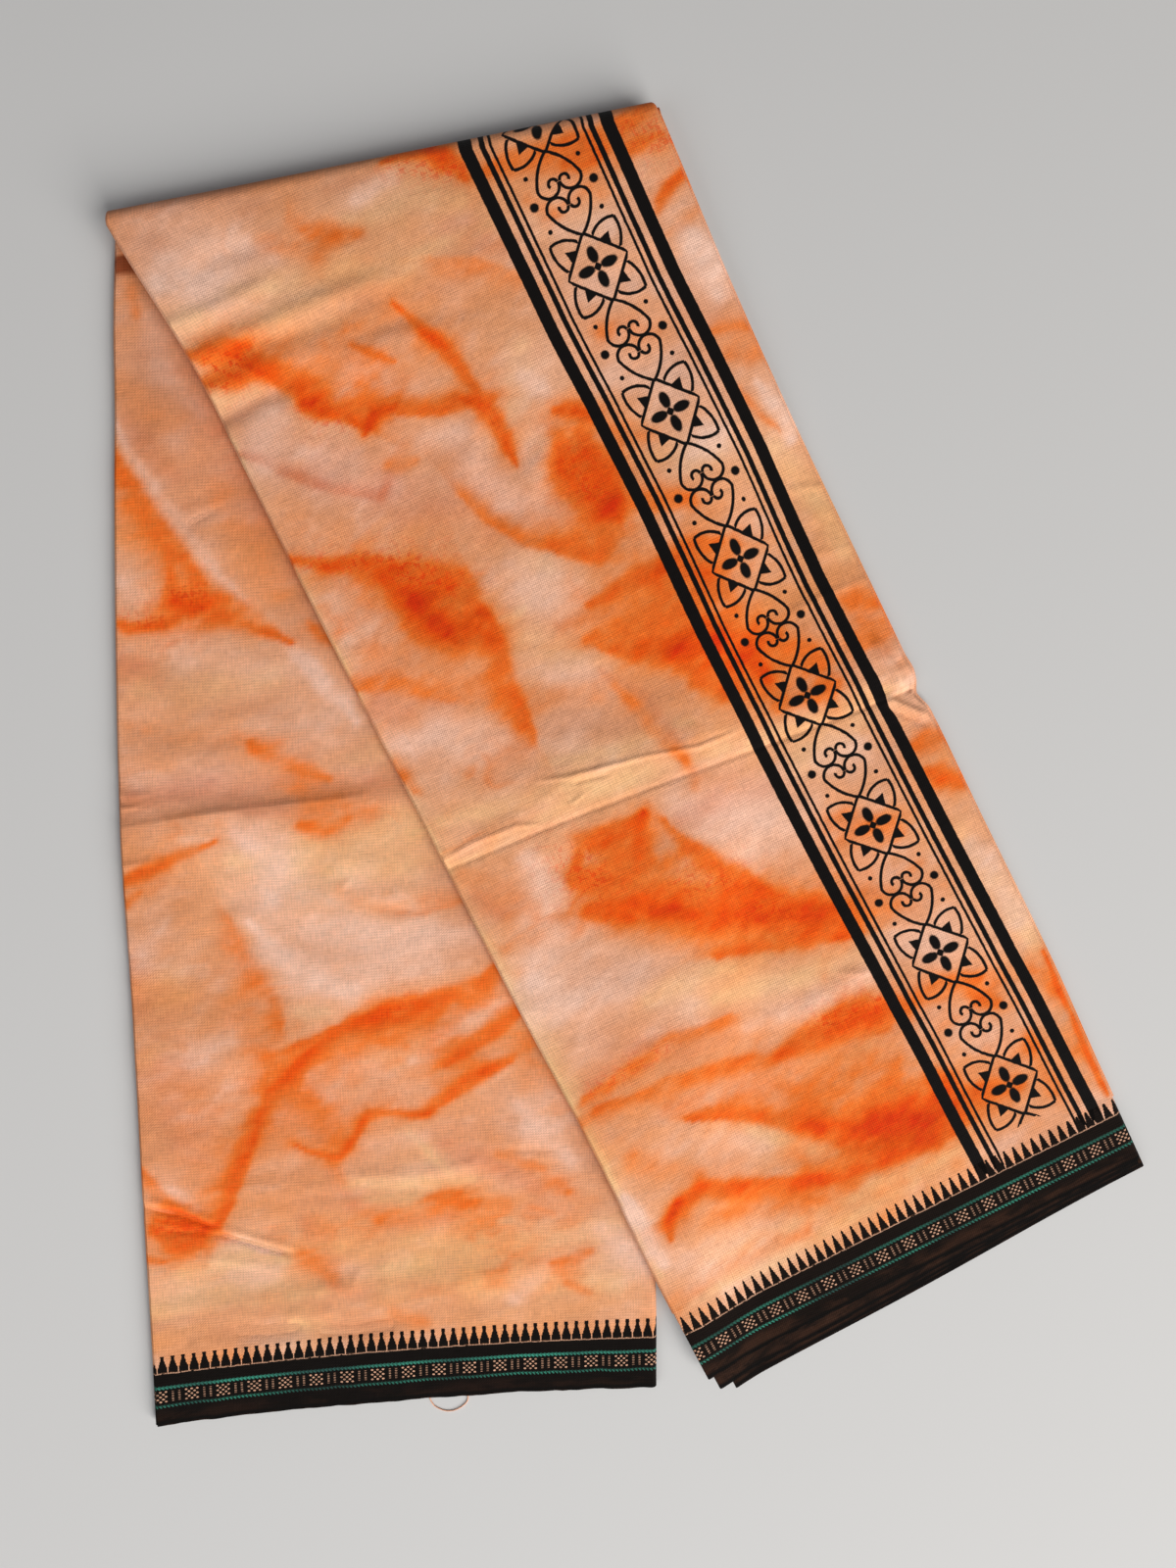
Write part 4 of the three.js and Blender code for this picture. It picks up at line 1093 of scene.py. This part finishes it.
def turnSheet(path, angles, printed):
    s, height = path[None, :, 0], path[None, :, 1]
    s, height, angle = np.broadcast_arrays(s, height, angles[:, None])
    inside = np.clip(s, 0, strip["width"])
    radius = turn["inner"] + height
    y = trueHeight(overLeg, inside, 0.0) + radius * (math.pi - angle)
    bandAcross, bandAlong = bandPlace(inside, y)
    bandAcross = np.where(height > 4.6, bandAcross, 400) if printed else bandAcross + 400
    return {
        "points": placeOnTurn(s, angle, height),
        "cloth": np.stack([np.broadcast_to(runLength(path)[None, :], s.shape), y], -1),
        "bandAt": np.stack([bandAcross, bandAlong], -1),
        "dyeAndShade": dyeAndShadeAt(overLeg, inside, np.minimum(y, trueHeight(overLeg, inside, 0.0) + 14)),
        "top": topColumn(path.reshape(-1, 2)),
    }


def backwards(sheet):
    return {key: value if key == "top" else value[::-1] for key, value in sheet.items()}


def joinRows(first, second):
    # two grids of the same columns, one running on from the other
    joined = {key: np.concatenate([first[key][:-1], second[key]]) for key in first if key != "top"}
    return {**joined, "top": first["top"]}


# Shader drawing

class Line:
    # a number in a material that can be added, multiplied and so on
    def __init__(self, tree, socket):
        self.tree, self.socket = tree, socket

    def make(self, operation, *others):
        node = self.tree.nodes.new("ShaderNodeMath")
        node.operation = operation
        for slot, value in enumerate((self,) + others):
            if isinstance(value, Line):
                self.tree.links.new(value.socket, node.inputs[slot])
            else:
                node.inputs[slot].default_value = value
        return Line(self.tree, node.outputs[0])

    def __add__(self, other): return self.make("ADD", other)
    def __sub__(self, other): return self.make("SUBTRACT", other)
    def __mul__(self, other): return self.make("MULTIPLY", other)
    def __truediv__(self, other): return self.make("DIVIDE", other)
    def size(self): return self.make("ABSOLUTE")
    def least(self, other): return self.make("MINIMUM", other)
    def most(self, other): return self.make("MAXIMUM", other)
    def over(self, other): return self.make("GREATER_THAN", other)
    def under(self, other): return self.make("LESS_THAN", other)
    def sine(self): return self.make("SINE")
    def root(self): return self.make("SQRT")
    def power(self, other): return self.make("POWER", other)
    def step(self, size): return self.make("SNAP", size)
    def flip(self): return (self * -1) + 1

    def fade(self, low, high):
        # 0 below low, 1 above high, eased between; low may be the larger
        node = self.tree.nodes.new("ShaderNodeMapRange")
        node.interpolation_type = "SMOOTHSTEP"
        self.tree.links.new(self.socket, node.inputs[0])
        node.inputs[1].default_value, node.inputs[2].default_value = low, high
        return Line(self.tree, node.outputs[0])

    def between(self, low, high, soft):
        middle, half = (low + high) / 2, (high - low) / 2
        return (self - middle).size().fade(half + soft / 2, half - soft / 2)

    def near(self, half, soft):
        return self.size().fade(half + soft / 2, half - soft / 2)

    def repeat(self, pitch):
        # distance to the middle of a repeat, from -pitch / 2 to pitch / 2
        return self - (self / pitch).make("ROUND") * pitch


def ring(x, y, centre, radius):
    return ((x - centre[0]).power(2) + (y - centre[1]).power(2)).root() - radius


def oval(x, y, centre, half):
    return (((x - centre[0]) / half[0]).power(2) + ((y - centre[1]) / half[1]).power(2)).root() - 1


def noiseAt(tree, vector, scale, detail=2.0, rough=0.5, warp=0.0):
    node = tree.nodes.new("ShaderNodeTexNoise")
    node.inputs["Scale"].default_value = scale
    node.inputs["Detail"].default_value = detail
    node.inputs["Roughness"].default_value = rough
    node.inputs["Distortion"].default_value = warp
    tree.links.new(vector, node.inputs["Vector"])
    return Line(tree, node.outputs["Fac"])


def spot(tree, x, y, z=0.0):
    node = tree.nodes.new("ShaderNodeCombineXYZ")
    for slot, value in enumerate((x, y, z)):
        if isinstance(value, Line):
            tree.links.new(value.socket, node.inputs[slot])
        else:
            node.inputs[slot].default_value = value
    return node.outputs[0]


def blendColour(tree, share, first, second, how="MIX"):
    node = tree.nodes.new("ShaderNodeMix")
    node.data_type = "RGBA"
    node.blend_type = how
    if isinstance(share, float):
        node.inputs[0].default_value = share
    else:
        tree.links.new(share.socket, node.inputs[0])
    for slot, value in ((6, first), (7, second)):
        if isinstance(value, tuple):
            node.inputs[slot].default_value = (*value, 1.0)
        else:
            tree.links.new(value, node.inputs[slot])
    return node.outputs[2]


def uvLines(tree, name):
    node = tree.nodes.new("ShaderNodeUVMap")
    node.uv_map = name
    split = tree.nodes.new("ShaderNodeSeparateXYZ")
    tree.links.new(node.outputs[0], split.inputs[0])
    return Line(tree, split.outputs[0]), Line(tree, split.outputs[1])


threadColours = {
    "black": paintOf(15, 13, 12),
    "brown": paintOf(66, 42, 30),
    "teal": paintOf(64, 150, 128),
    "dimTeal": paintOf(48, 86, 80),
    "pale": paintOf(226, 176, 146),
}


def bandInk(x, y, up):
    # bars beside a row of diamonds and facing hearts, drawn in one quarter and mirrored
    soft = band["soft"]
    side = x.size()
    bars = side.between(*band["thick"], soft).most(side.between(*band["medium"], soft))
    bars = bars.most(side.between(*band["thin"], soft))
    across = (x - band["aside"]).size()
    fromDiamond = y.repeat(band["pitch"]).size()
    fromStar = (fromDiamond * -1) + band["pitch"] / 2
    half = band["line"] / 2
    # diamond: straight sides, rounded at the two side corners
    side1 = (across / 15.9 + fromDiamond / 17.1 - 1) * 11.64
    cut = (across - 14.6).most(0)
    ink = (side1 + cut * 0.55).near(half, soft)
    ink = ink * fromDiamond.under(17.3)
    # four petals in the diamond
    ink = ink.most((oval(across, fromDiamond, (0.0, 6.0), (2.5, 4.3)) * 2.6).fade(soft, -soft))
    ink = ink.most((oval(across, fromDiamond, (5.9, 0.0), (4.4, 2.5)) * 2.8).fade(soft, -soft))
    ink = ink.most((across + fromDiamond).fade(2.6, 2.0))
    # leaf outside each side, with a solid corner in it
    upper = ring(across, fromDiamond, (13.03, 6.29), 12.15).near(half, soft)
    upper = upper * across.between(3.7, 16.9, 0.3) * fromDiamond.over(12.5)
    outer = ring(across, fromDiamond, (-0.04, 14.09), 17.2).near(half, soft)
    outer = outer * across.over(12.0) * fromDiamond.between(3.6, 18.0, 0.3)
    corner = (fromDiamond - (across - 6.7) * 0.29 - 11.3).fade(soft / 2, -soft / 2)
    corner = corner * (across - (fromDiamond - 6.8) * 0.207 - 10.4).fade(soft / 2, -soft / 2)
    corner = corner * side1.over(0)
    ink = ink.most(upper).most(outer).most(corner)
    # facing hearts, which curl in at their lobes
    flank = ring(across, fromStar, (-16.8, -2.5), 29.0).near(half, soft) * fromStar.between(5.2, 22, 0.2)
    lobe = ring(across, fromStar, (5.7, 5.6), 5.35).near(half, soft) * fromStar.under(5.8)
    curl = ring(across, fromStar, (2.9, 5.9), 2.2).near(half, soft)
    open1 = (fromStar - 5.9).under(0) * (fromStar - 5.9 + (across - 2.9) * 0.7).under(0)
    curl = curl * open1.flip()
    ink = ink.most(flank).most(lobe).most(curl)
    # dots
    ink = ink.most(ring(across, fromStar, (15.5, 0.0), 2.2).fade(soft, -soft))
    ink = ink.most(ring(across, fromStar, (13.5, 13.4), 1.15).fade(soft / 2, -soft / 2))
    # the motifs stop short of the woven spikes and the bars run down over them
    return bars.most(ink * side.under(20) * up.over(band["motifsFrom"])) * up.over(band["barsFrom"])


hemLooks = {
    # widths of a spike from its foot up: share of its height, half width there in mm
    "stepped": {"spike": [(0.30, 2.40), (0.46, 1.85), (0.62, 1.40), (0.80, 0.95), (1.0, 1.05)], "saw": 0.16,
                "upperTeal": 1.0, "lowerTeal": 0.72, "mottle": 0.18},
    "tree": {"spike": [(0.16, 2.40), (0.32, 2.10), (0.48, 1.75), (0.64, 1.45), (0.82, 1.10), (1.0, 0.80)],
             "saw": 0.66, "upperTeal": 0.55, "lowerTeal": 0.90, "mottle": 0.50},
}

border = {
    "tips": 36.0, "base": 26.6, "pitch": 5.1,
    "teal": (18.3, 19.7), "motif": (11.9, 17.1), "lowTeal": (9.2, 10.4),
    "flowerPitch": 15.2,
    "flowerDots": [(0.0, 0.0), (2.7, 0.0), (1.35, 1.2), (0.0, 2.4), (2.7, 2.4)],
}


def weaveLines(tree, across, up):
    # threads both ways, thick and thin in places
    pitch = 1.3
    bend = noiseAt(tree, spot(tree, across * 0.05, up * 0.05), 1.0, 2.0)
    warp = ((across + bend * 1.5) * (2 * math.pi / pitch)).sine()
    weft = ((up + bend * 1.8) * (2 * math.pi / pitch)).sine()
    slubWarp = noiseAt(tree, spot(tree, across * 1.3, up * 0.16), 1.0, 2.0, 0.6)
    slubWeft = noiseAt(tree, spot(tree, across * 0.16, up * 1.3, 7.0), 1.0, 2.0, 0.6)
    return warp, weft, slubWarp, slubWeft


def clothMaterial(name, printed, look=None):
    material = bpy.data.materials.new(name)
    material.use_nodes = True
    tree = material.node_tree
    shader = tree.nodes["Principled BSDF"]
    across, up = uvLines(tree, "cloth")
    paintNode = tree.nodes.new("ShaderNodeAttribute")
    paintNode.attribute_name = "dyeAndShade"
    drops = Line(tree, paintNode.outputs["Alpha"])
    place = spot(tree, across, up)

    warp, weft, slubWarp, slubWeft = weaveLines(tree, across, up)
    streak = slubWarp + slubWeft - 1.0
    cloudy = noiseAt(tree, place, 0.07, 5.0, 0.62, 0.6) - 0.5
    speckle = noiseAt(tree, place, 0.55, 3.0, 0.6) - 0.5

    dots = noiseAt(tree, place, 0.36, 2.0, 0.5, 0.8).fade(0.53, 0.60) * drops
    tone = blendColour(tree, dots * 0.7, paintNode.outputs["Color"], dyeAndShadeColours["deep"])
    if printed:
        x, y = uvLines(tree, "band")
        wobble = noiseAt(tree, place, 0.4, 2.0) - 0.5
        ink = bandInk(x + wobble * 0.5, y + wobble * 0.5, up + wobble * 6)
        tone = blendColour(tree, ink, tone, band["ink"])
    if look:
        tone = hemBorder(tree, tone, across, up, speckle, look)

    threads = weft * 0.065 + warp * 0.042 + streak * 0.46 + cloudy * 0.14 + 0.955
    shade = tree.nodes.new("ShaderNodeCombineColor")
    for i in range(3):
        tree.links.new(threads.socket, shade.inputs[i])
    tone = blendColour(tree, 1.0, tone, shade.outputs[0], "MULTIPLY")
    tree.links.new(tone, shader.inputs["Base Color"])
    shader.inputs["Roughness"].default_value = 0.92
    shader.inputs["Specular IOR Level"].default_value = 0.12
    shader.inputs["Sheen Weight"].default_value = 0.06
    shader.inputs["Sheen Roughness"].default_value = 0.5

    relief = warp * weft * 0.5 + streak * 1.2 + (noiseAt(tree, place, 0.12, 4.0, 0.6, 0.4) - 0.5) * 3.2
    rumple = noiseAt(tree, spot(tree, across * 0.06, up * 0.16 + across * 0.03), 1.0, 3.0, 0.6, 0.6) - 0.5
    relief = relief + rumple * 1.8
    bump = tree.nodes.new("ShaderNodeBump")
    bump.inputs["Strength"].default_value = 0.55
    bump.inputs["Distance"].default_value = 0.00022
    tree.links.new(relief.socket, bump.inputs["Height"])
    tree.links.new(bump.outputs[0], shader.inputs["Normal"])
    if look:
        shader.inputs["Roughness"].default_value = 0.95
        shader.inputs["Specular IOR Level"].default_value = 0.06
        shader.inputs["Sheen Weight"].default_value = 0.02
    return material


def hemBorder(tree, tone, across, up, speckle, look):
    # stepped spikes, teal chains and a row of small flowers between dashed bars, on black
    place = spot(tree, across * 0.3, up * 0.3)
    wander = (noiseAt(tree, place, 1.0, 2.0) - 0.5) * 0.6
    x = (across + wander).repeat(border["pitch"]).size()
    high = (up + wander - border["base"]) / (border["tips"] - border["base"])
    halfWide = None
    for below, (top, half) in zip([0] + [row[0] for row in look["spike"]], look["spike"]):
        level = (high - below) / (top - below)
        part = level.over(0) * level.under(1.0) * (level * -look["saw"] + half)
        halfWide = part if halfWide is None else halfWide + part
    rough = (speckle * 0.9).least(0.25)
    spike = (x - halfWide - rough * 0.5).fade(0.14, -0.14) * high.over(0) * high.under(1.0)
    black = spike.most(up.fade(border["base"] + 0.2, border["base"] - 0.2))
    ribs = (up * (2 * math.pi / 1.3)).sine() * 0.07
    brown = noiseAt(tree, spot(tree, across * 0.03, up * 0.09), 1.0, 4.0, 0.66, 0.5).fade(0.40, 0.62)
    # the brown fades out about 1 to 3 mm from the cut edge: a painted black shadow where each layer stands
    # over the next; the frayed brown right at the edge stays
    brown = (brown * up.fade(10.0, 5.0) + 0.16 + ribs) * up.fade(1.4, 3.0) * look["mottle"]
    frayed = noiseAt(tree, spot(tree, across * 0.09, 3.0), 1.0, 2.0).fade(0.42, 0.62)
    brown = brown.most(up.fade(0.9, 0.3) * frayed * 0.30)
    dark = blendColour(tree, brown.most(0).least(1), threadColours["black"], threadColours["brown"])
    tone = blendColour(tree, black, tone, dark)
    line = (up + wander * 1.4 - border["base"] + 0.5).near(0.20, 0.2)
    line = line * noiseAt(tree, place, 1.7, 1.0).fade(0.30, 0.42)
    tick = (x * -1 + border["pitch"] / 2).under(0.2) * (up + wander * 3).between(26.0, 28.6, 0.3)
    tone = blendColour(tree, line.most(tick) * 0.74, tone, threadColours["pale"])
    link = (across * (2 * math.pi / 1.9) + up * 2.2).sine()
    glow = noiseAt(tree, spot(tree, across * 0.02, 0.0), 1.0, 1.0).fade(0.35, 0.65)
    chain = (up + link * 0.24).between(*border["teal"], 0.35) * (link * 0.30 + 0.70) * look["upperTeal"]
    low = (up + link * 0.34).between(*border["lowTeal"], 0.3) * (link * 0.45 + 0.55) * look["lowerTeal"]
    teal = blendColour(tree, glow, threadColours["dimTeal"], threadColours["teal"])
    tone = blendColour(tree, chain.most(low), tone, teal)
    lowEnd, highEnd = border["motif"]
    fromFlower, rise = across.repeat(border["flowerPitch"]), up - (lowEnd + highEnd) / 2
    flower = None
    for dot in border["flowerDots"]:
        spotOn = oval(fromFlower.size(), rise.size(), dot, (0.62, 0.42)).fade(0.16, -0.14)
        flower = spotOn if flower is None else flower.most(spotOn)
    fromMid = (across + border["flowerPitch"] / 2).repeat(border["flowerPitch"])
    dash = rise.repeat(1.25).size().under(0.36) * rise.size().under(2.5)
    bars = (fromMid.size() - 1.55).size().under(0.52) * dash
    worn = noiseAt(tree, place, 1.1, 1.0).fade(0.30, 0.62) * 0.35 + 0.55
    return blendColour(tree, flower.most(bars * 0.5) * worn, tone, threadColours["pale"])


materials = {
    "faces": clothMaterial("dyedCotton", True),
    "layers": clothMaterial("innerCotton", False),
    "upperBorder": clothMaterial("upperWovenBorder", True, hemLooks["tree"]),
    "lowerBorder": clothMaterial("lowerWovenBorder", True, hemLooks["stepped"]),
}
print("materials made")


# The pieces

borderDepth = 36.0
detail = {"face": 1.4, "faceRow": 1.75, "fineRow": 0.9, "hidden": 15.0, "inside": (4, 5.4),
          "layer": 12.0, "layerRow": 7.0, "borderRow": 1.5}


def finishPiece(piece, nodes):
    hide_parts(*nodes)
    triangles = sum(len(face.vertices) - 2 for face in piece.data.polygons)
    print(piece.name, "made,", triangles, "triangles")
    return piece


def faceParts(leg, layers, mirrored, rightEdge):
    path = foldedPath(layers, farLip, lip, mirrored, rightEdge, detail["face"], 9, detail["hidden"])
    borderTop = leg["length"] - borderDepth
    rows = spacedRows(leg, 0.0, borderTop, detail["faceRow"], detail["fineRow"])
    borderRows = np.linspace(borderTop, leg["length"], int(borderDepth / detail["borderRow"]) + 1)
    return path, rows, borderRows


# upper leg: its face runs on round the turn to the floor
path, rows, borderRows = faceParts(overLeg, [4, 7, 0], False, overRight)
angles = np.linspace(0, math.pi, turn["rows"] + 1)[::-1]
face = legSheet(overLeg, path, rows)
bend = turnSheet(path, angles, True)
flipped = backwards(bend)
overFace = gridMesh("upperLegFace", [joinRows(flipped, face)], materials["faces"], *detail["inside"])
finishPiece(overFace, ["over_leg_face", "turn_face"])
overBorder = gridMesh("upperLegBorder", [legSheet(overLeg, path, borderRows)], materials["upperBorder"],
                      2, 2.8)
finishPiece(overBorder, ["over_leg_border"])

# its hidden layers: the runs on layers 4 and 0 are in the face as well, out of sight
layerPaths = [
    foldedPath([3, 4], freeEnds["over"][3], farLip, False, overRight, detail["layer"], 5),
    foldedPath([0, 1, 6, 5, 2], lip, freeEnds["over"][2], False, overRight, detail["layer"], 5),
]
layerRows = spacedRows(overLeg, 0.0, overLeg["length"] - borderDepth, detail["layerRow"], 2.5)
sheets = []
for layerPath in layerPaths:
    bend = backwards(turnSheet(layerPath, angles[::2], False))
    sheets.append(joinRows(bend, legSheet(overLeg, layerPath, layerRows, True)))
overLayers = gridMesh("upperLegLayers", sheets, materials["layers"])
finishPiece(overLayers, ["over_leg_layers", "turn_layers"])

# its hem: each layer ends a little further out than the one above
hemOut = {  # layer: how far out at the left and the right, set in from the left
    6: (8.3, 2.5, 3.4), 5: (13.2, 2.5, 10.0), 4: (13.8, 0.0, 11.0),
    3: (13.8, 6.3, 11.0), 2: (13.2, 6.3, 10.0), 1: (8.3, 6.3, 3.4), 0: (0.0, 6.3, 0.0),
}
hemRows = np.linspace(overLeg["length"] - borderDepth, overLeg["length"], 25)


def hemSheet(upper, lower, rightEnds):
    # a pair of layers joined by their left bend
    left, right, setIn = hemOut[upper]
    lowLeft, lowRight, _ = hemOut[lower]
    start = strip["bendAt"] + setIn
    high, low = layerHeight(upper, False), layerHeight(lower, False)
    radius = (high - low) / 2
    bendSpots = [(start - radius * math.sin(t), (high + low) / 2 + radius * math.cos(t))
                 for t in np.linspace(0, math.pi, 9)]
    topRun = [(s, high) for s in np.linspace(rightEnds[0], start, 60)]
    lowRun = [(s, low) for s in np.linspace(start, rightEnds[1], 60)]
    path = np.array(topRun + bendSpots[1:-1] + lowRun)
    share = np.linspace(0, 1, len(path))
    rightOut = right + (lowRight - right) * ease(share, 0.45, 0.55)
    leftOut = left + (lowLeft - left) * ease(share, 0.45, 0.55)
    across = np.clip(path[:, 0] / strip["width"], 0, 1)
    outs = leftOut + (rightOut - leftOut) * across + 0.5 * np.sin(path[:, 0] / 31 + upper)
    return legSheet(overLeg, path, hemRows, True, out=lambda s: outs[None, :], droop=0.18)


sheets = [
    hemSheet(6, 1, (248.0, 250.0)),
    hemSheet(5, 2, (247.4, 250.0)),
    hemSheet(4, 3, (249.0, 250.4)),
]
overHem = gridMesh("upperLegHemLayers", sheets, materials["upperBorder"])
finishPiece(overHem, ["over_hem_upper_fold", "over_hem_lower_fold"])

# lower leg
path, rows, borderRows = faceParts(underLeg, [1, 0, 7], True, underRight)
underFace = gridMesh("lowerLegFace", [legSheet(underLeg, path, rows)], materials["faces"], *detail["inside"])
finishPiece(underFace, ["under_leg_face"])
underBorder = gridMesh("lowerLegBorder", [legSheet(underLeg, path, borderRows)], materials["lowerBorder"],
                       2, 2.8)
finishPiece(underBorder, ["under_leg_border"])

# the runs on layers 7 and 1 are in the face as well, out of sight
layerPaths = [
    foldedPath([7, 4, 3], lip, freeEnds["under"][3], True, underRight, detail["layer"], 5),
    foldedPath([1, 6, 5, 2], farLip, freeEnds["under"][2], True, underRight, detail["layer"], 5),
]
layerRows = spacedRows(underLeg, 0.0, underLeg["length"] - borderDepth, detail["layerRow"], 2.5)
underLayers = gridMesh("lowerLegLayers", [legSheet(underLeg, p, layerRows, True) for p in layerPaths],
                       materials["layers"])
finishPiece(underLayers, ["under_leg_layers"])
hemRows = np.linspace(underLeg["length"] - borderDepth, underLeg["length"] - 0.4, 14)
underHem = gridMesh("lowerLegHemLayers", [legSheet(underLeg, p, hemRows, True) for p in layerPaths],
                    materials["lowerBorder"])
finishPiece(underHem, ["under_hem_layers"])


# a loose thread hangs from the lower hem in a loop and goes back under it
loop = {
    # across, below the hem, height
    "path": [(134.5, -3.0, 1.0), (135.6, 1.5, 0.6), (136.6, 5.6, 0.3), (139.6, 8.6, 0.3), (144.6, 10.2, 0.3),
             (149.6, 9.6, 0.3), (153.8, 7.2, 0.3), (155.6, 3.6, 0.35), (154.2, 0.6, 0.6), (152.6, -3.0, 1.0)],
    "thick": 0.5, "sides": 6, "rings": 72,
}
knots = np.array(loop["path"])
share = np.linspace(0, len(knots) - 1, loop["rings"])
soft = np.array([np.interp(np.clip(share + k, 0, len(knots) - 1), np.arange(len(knots)), knots[:, c])
                 for c in range(3) for k in (-0.5, -0.25, 0, 0.25, 0.5)]).reshape(3, 5, -1).mean(1).T
along = 1 + soft[:, 1] / underLeg["length"]
line = placeOnLeg(underLeg, soft[:, 0][None], along[None], np.zeros((1, len(along))), True)[0]
line[:, 2] = soft[:, 2]
way = np.gradient(line, axis=0)
way = way / np.linalg.norm(way, axis=1, keepdims=True)
sideways = np.cross(way, (0, 0, 1))
sideways = sideways / np.linalg.norm(sideways, axis=1, keepdims=True)
upward = np.cross(sideways, way)
angle = np.arange(loop["sides"]) * 2 * math.pi / loop["sides"]
tube = line[:, None] + loop["thick"] / 2 * (sideways[:, None] * np.cos(angle)[:, None]
                                            + upward[:, None] * np.sin(angle)[:, None])
spots = np.arange(tube.shape[0] * tube.shape[1]).reshape(tube.shape[:2])
ringOn = np.roll(spots, -1, axis=1)
sides = np.stack([spots[:-1], ringOn[:-1], ringOn[1:], spots[1:]], -1).reshape(-1, 4).tolist()
threadMesh = bpy.data.meshes.new("looseThread")
threadMesh.from_pydata((tube.reshape(-1, 3) * metre).tolist(), [],
                       sides + [spots[0][::-1].tolist(), spots[-1].tolist()])
threadMesh.polygons.foreach_set("use_smooth", np.ones(len(threadMesh.polygons), bool))
threadPaint = bpy.data.materials.new("threadCotton")
threadPaint.use_nodes = True
threadShader = threadPaint.node_tree.nodes["Principled BSDF"]
threadShader.inputs["Base Color"].default_value = (*paintOf(240, 176, 140), 1)
threadShader.inputs["Roughness"].default_value = 0.9
threadMesh.materials.append(threadPaint)
thread = bpy.data.objects.new("looseThread", threadMesh)
bpy.context.scene.collection.objects.link(thread)
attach(thread, "root")


# Floor, light and camera

studio = {
    "floor": paintOf(200, 200, 200),
    "floorSize": 6.0,
    "world": (0.60, 0.60, 0.62),
    "worldStrength": 0.21,
    "key": {"place": (1.95, -2.25, 2.05), "size": 2.8, "watts": 205.0, "colour": (1.0, 0.975, 0.94)},
    "fill": {"place": (-1.3, -0.9, 1.5), "size": 1.4, "watts": 9.0, "colour": (0.97, 0.98, 1.0)},
}


def addLight(name, kind):
    data = bpy.data.lights.new(name, "AREA")
    data.energy, data.size, data.color = kind["watts"], kind["size"], kind["colour"]
    lamp = bpy.data.objects.new(name, data)
    bpy.context.scene.collection.objects.link(lamp)
    place = np.array(kind["place"])
    way = place / np.linalg.norm(place)
    lamp.location = kind["place"]
    lamp.rotation_euler = (math.acos(way[2]), 0, math.atan2(way[1], way[0]) + math.pi / 2)
    return lamp


half = studio["floorSize"] / 2
floorMesh = bpy.data.meshes.new("floor")
corners = [(-half, -half, 0), (half, -half, 0), (half, half, 0), (-half, half, 0)]
floorMesh.from_pydata(corners, [], [(0, 1, 2, 3)])
floor = bpy.data.objects.new("floor", floorMesh)
bpy.context.scene.collection.objects.link(floor)
floor.location.z = -0.0001
floorPaint = bpy.data.materials.new("paleFloor")
floorPaint.use_nodes = True
floorShader = floorPaint.node_tree.nodes["Principled BSDF"]
floorShader.inputs["Base Color"].default_value = (*studio["floor"], 1)
floorShader.inputs["Roughness"].default_value = 0.85
floorShader.inputs["Specular IOR Level"].default_value = 0.1
floorMesh.materials.append(floorPaint)

world = bpy.data.worlds.new("studio")
bpy.context.scene.world = world
world.use_nodes = True
world.node_tree.nodes["Background"].inputs[0].default_value = (*studio["world"], 1)
world.node_tree.nodes["Background"].inputs[1].default_value = studio["worldStrength"]
addLight("keyLight", studio["key"])
addLight("fillLight", studio["fill"])
bpy.context.scene.view_settings.view_transform = "Standard"

view = {"place": (-0.03644, 0.01968, 0.5806), "tiltY": -1.1738, "tiltX": -2.2212, "lens": 26.775}
cameraData = bpy.data.cameras.new("camera")
cameraData.lens = view["lens"]
cameraData.sensor_width = 36.0
cameraData.clip_start = 0.01
camera = bpy.data.objects.new("camera", cameraData)
bpy.context.scene.collection.objects.link(camera)
turnY = Matrix.Rotation(math.radians(view["tiltY"]), 4, "Y")
turnX = Matrix.Rotation(math.radians(view["tiltX"]), 4, "X")
camera.matrix_world = Matrix.Translation(view["place"]) @ turnY @ turnX
bpy.context.scene.camera = camera
print("floor, light and camera set")
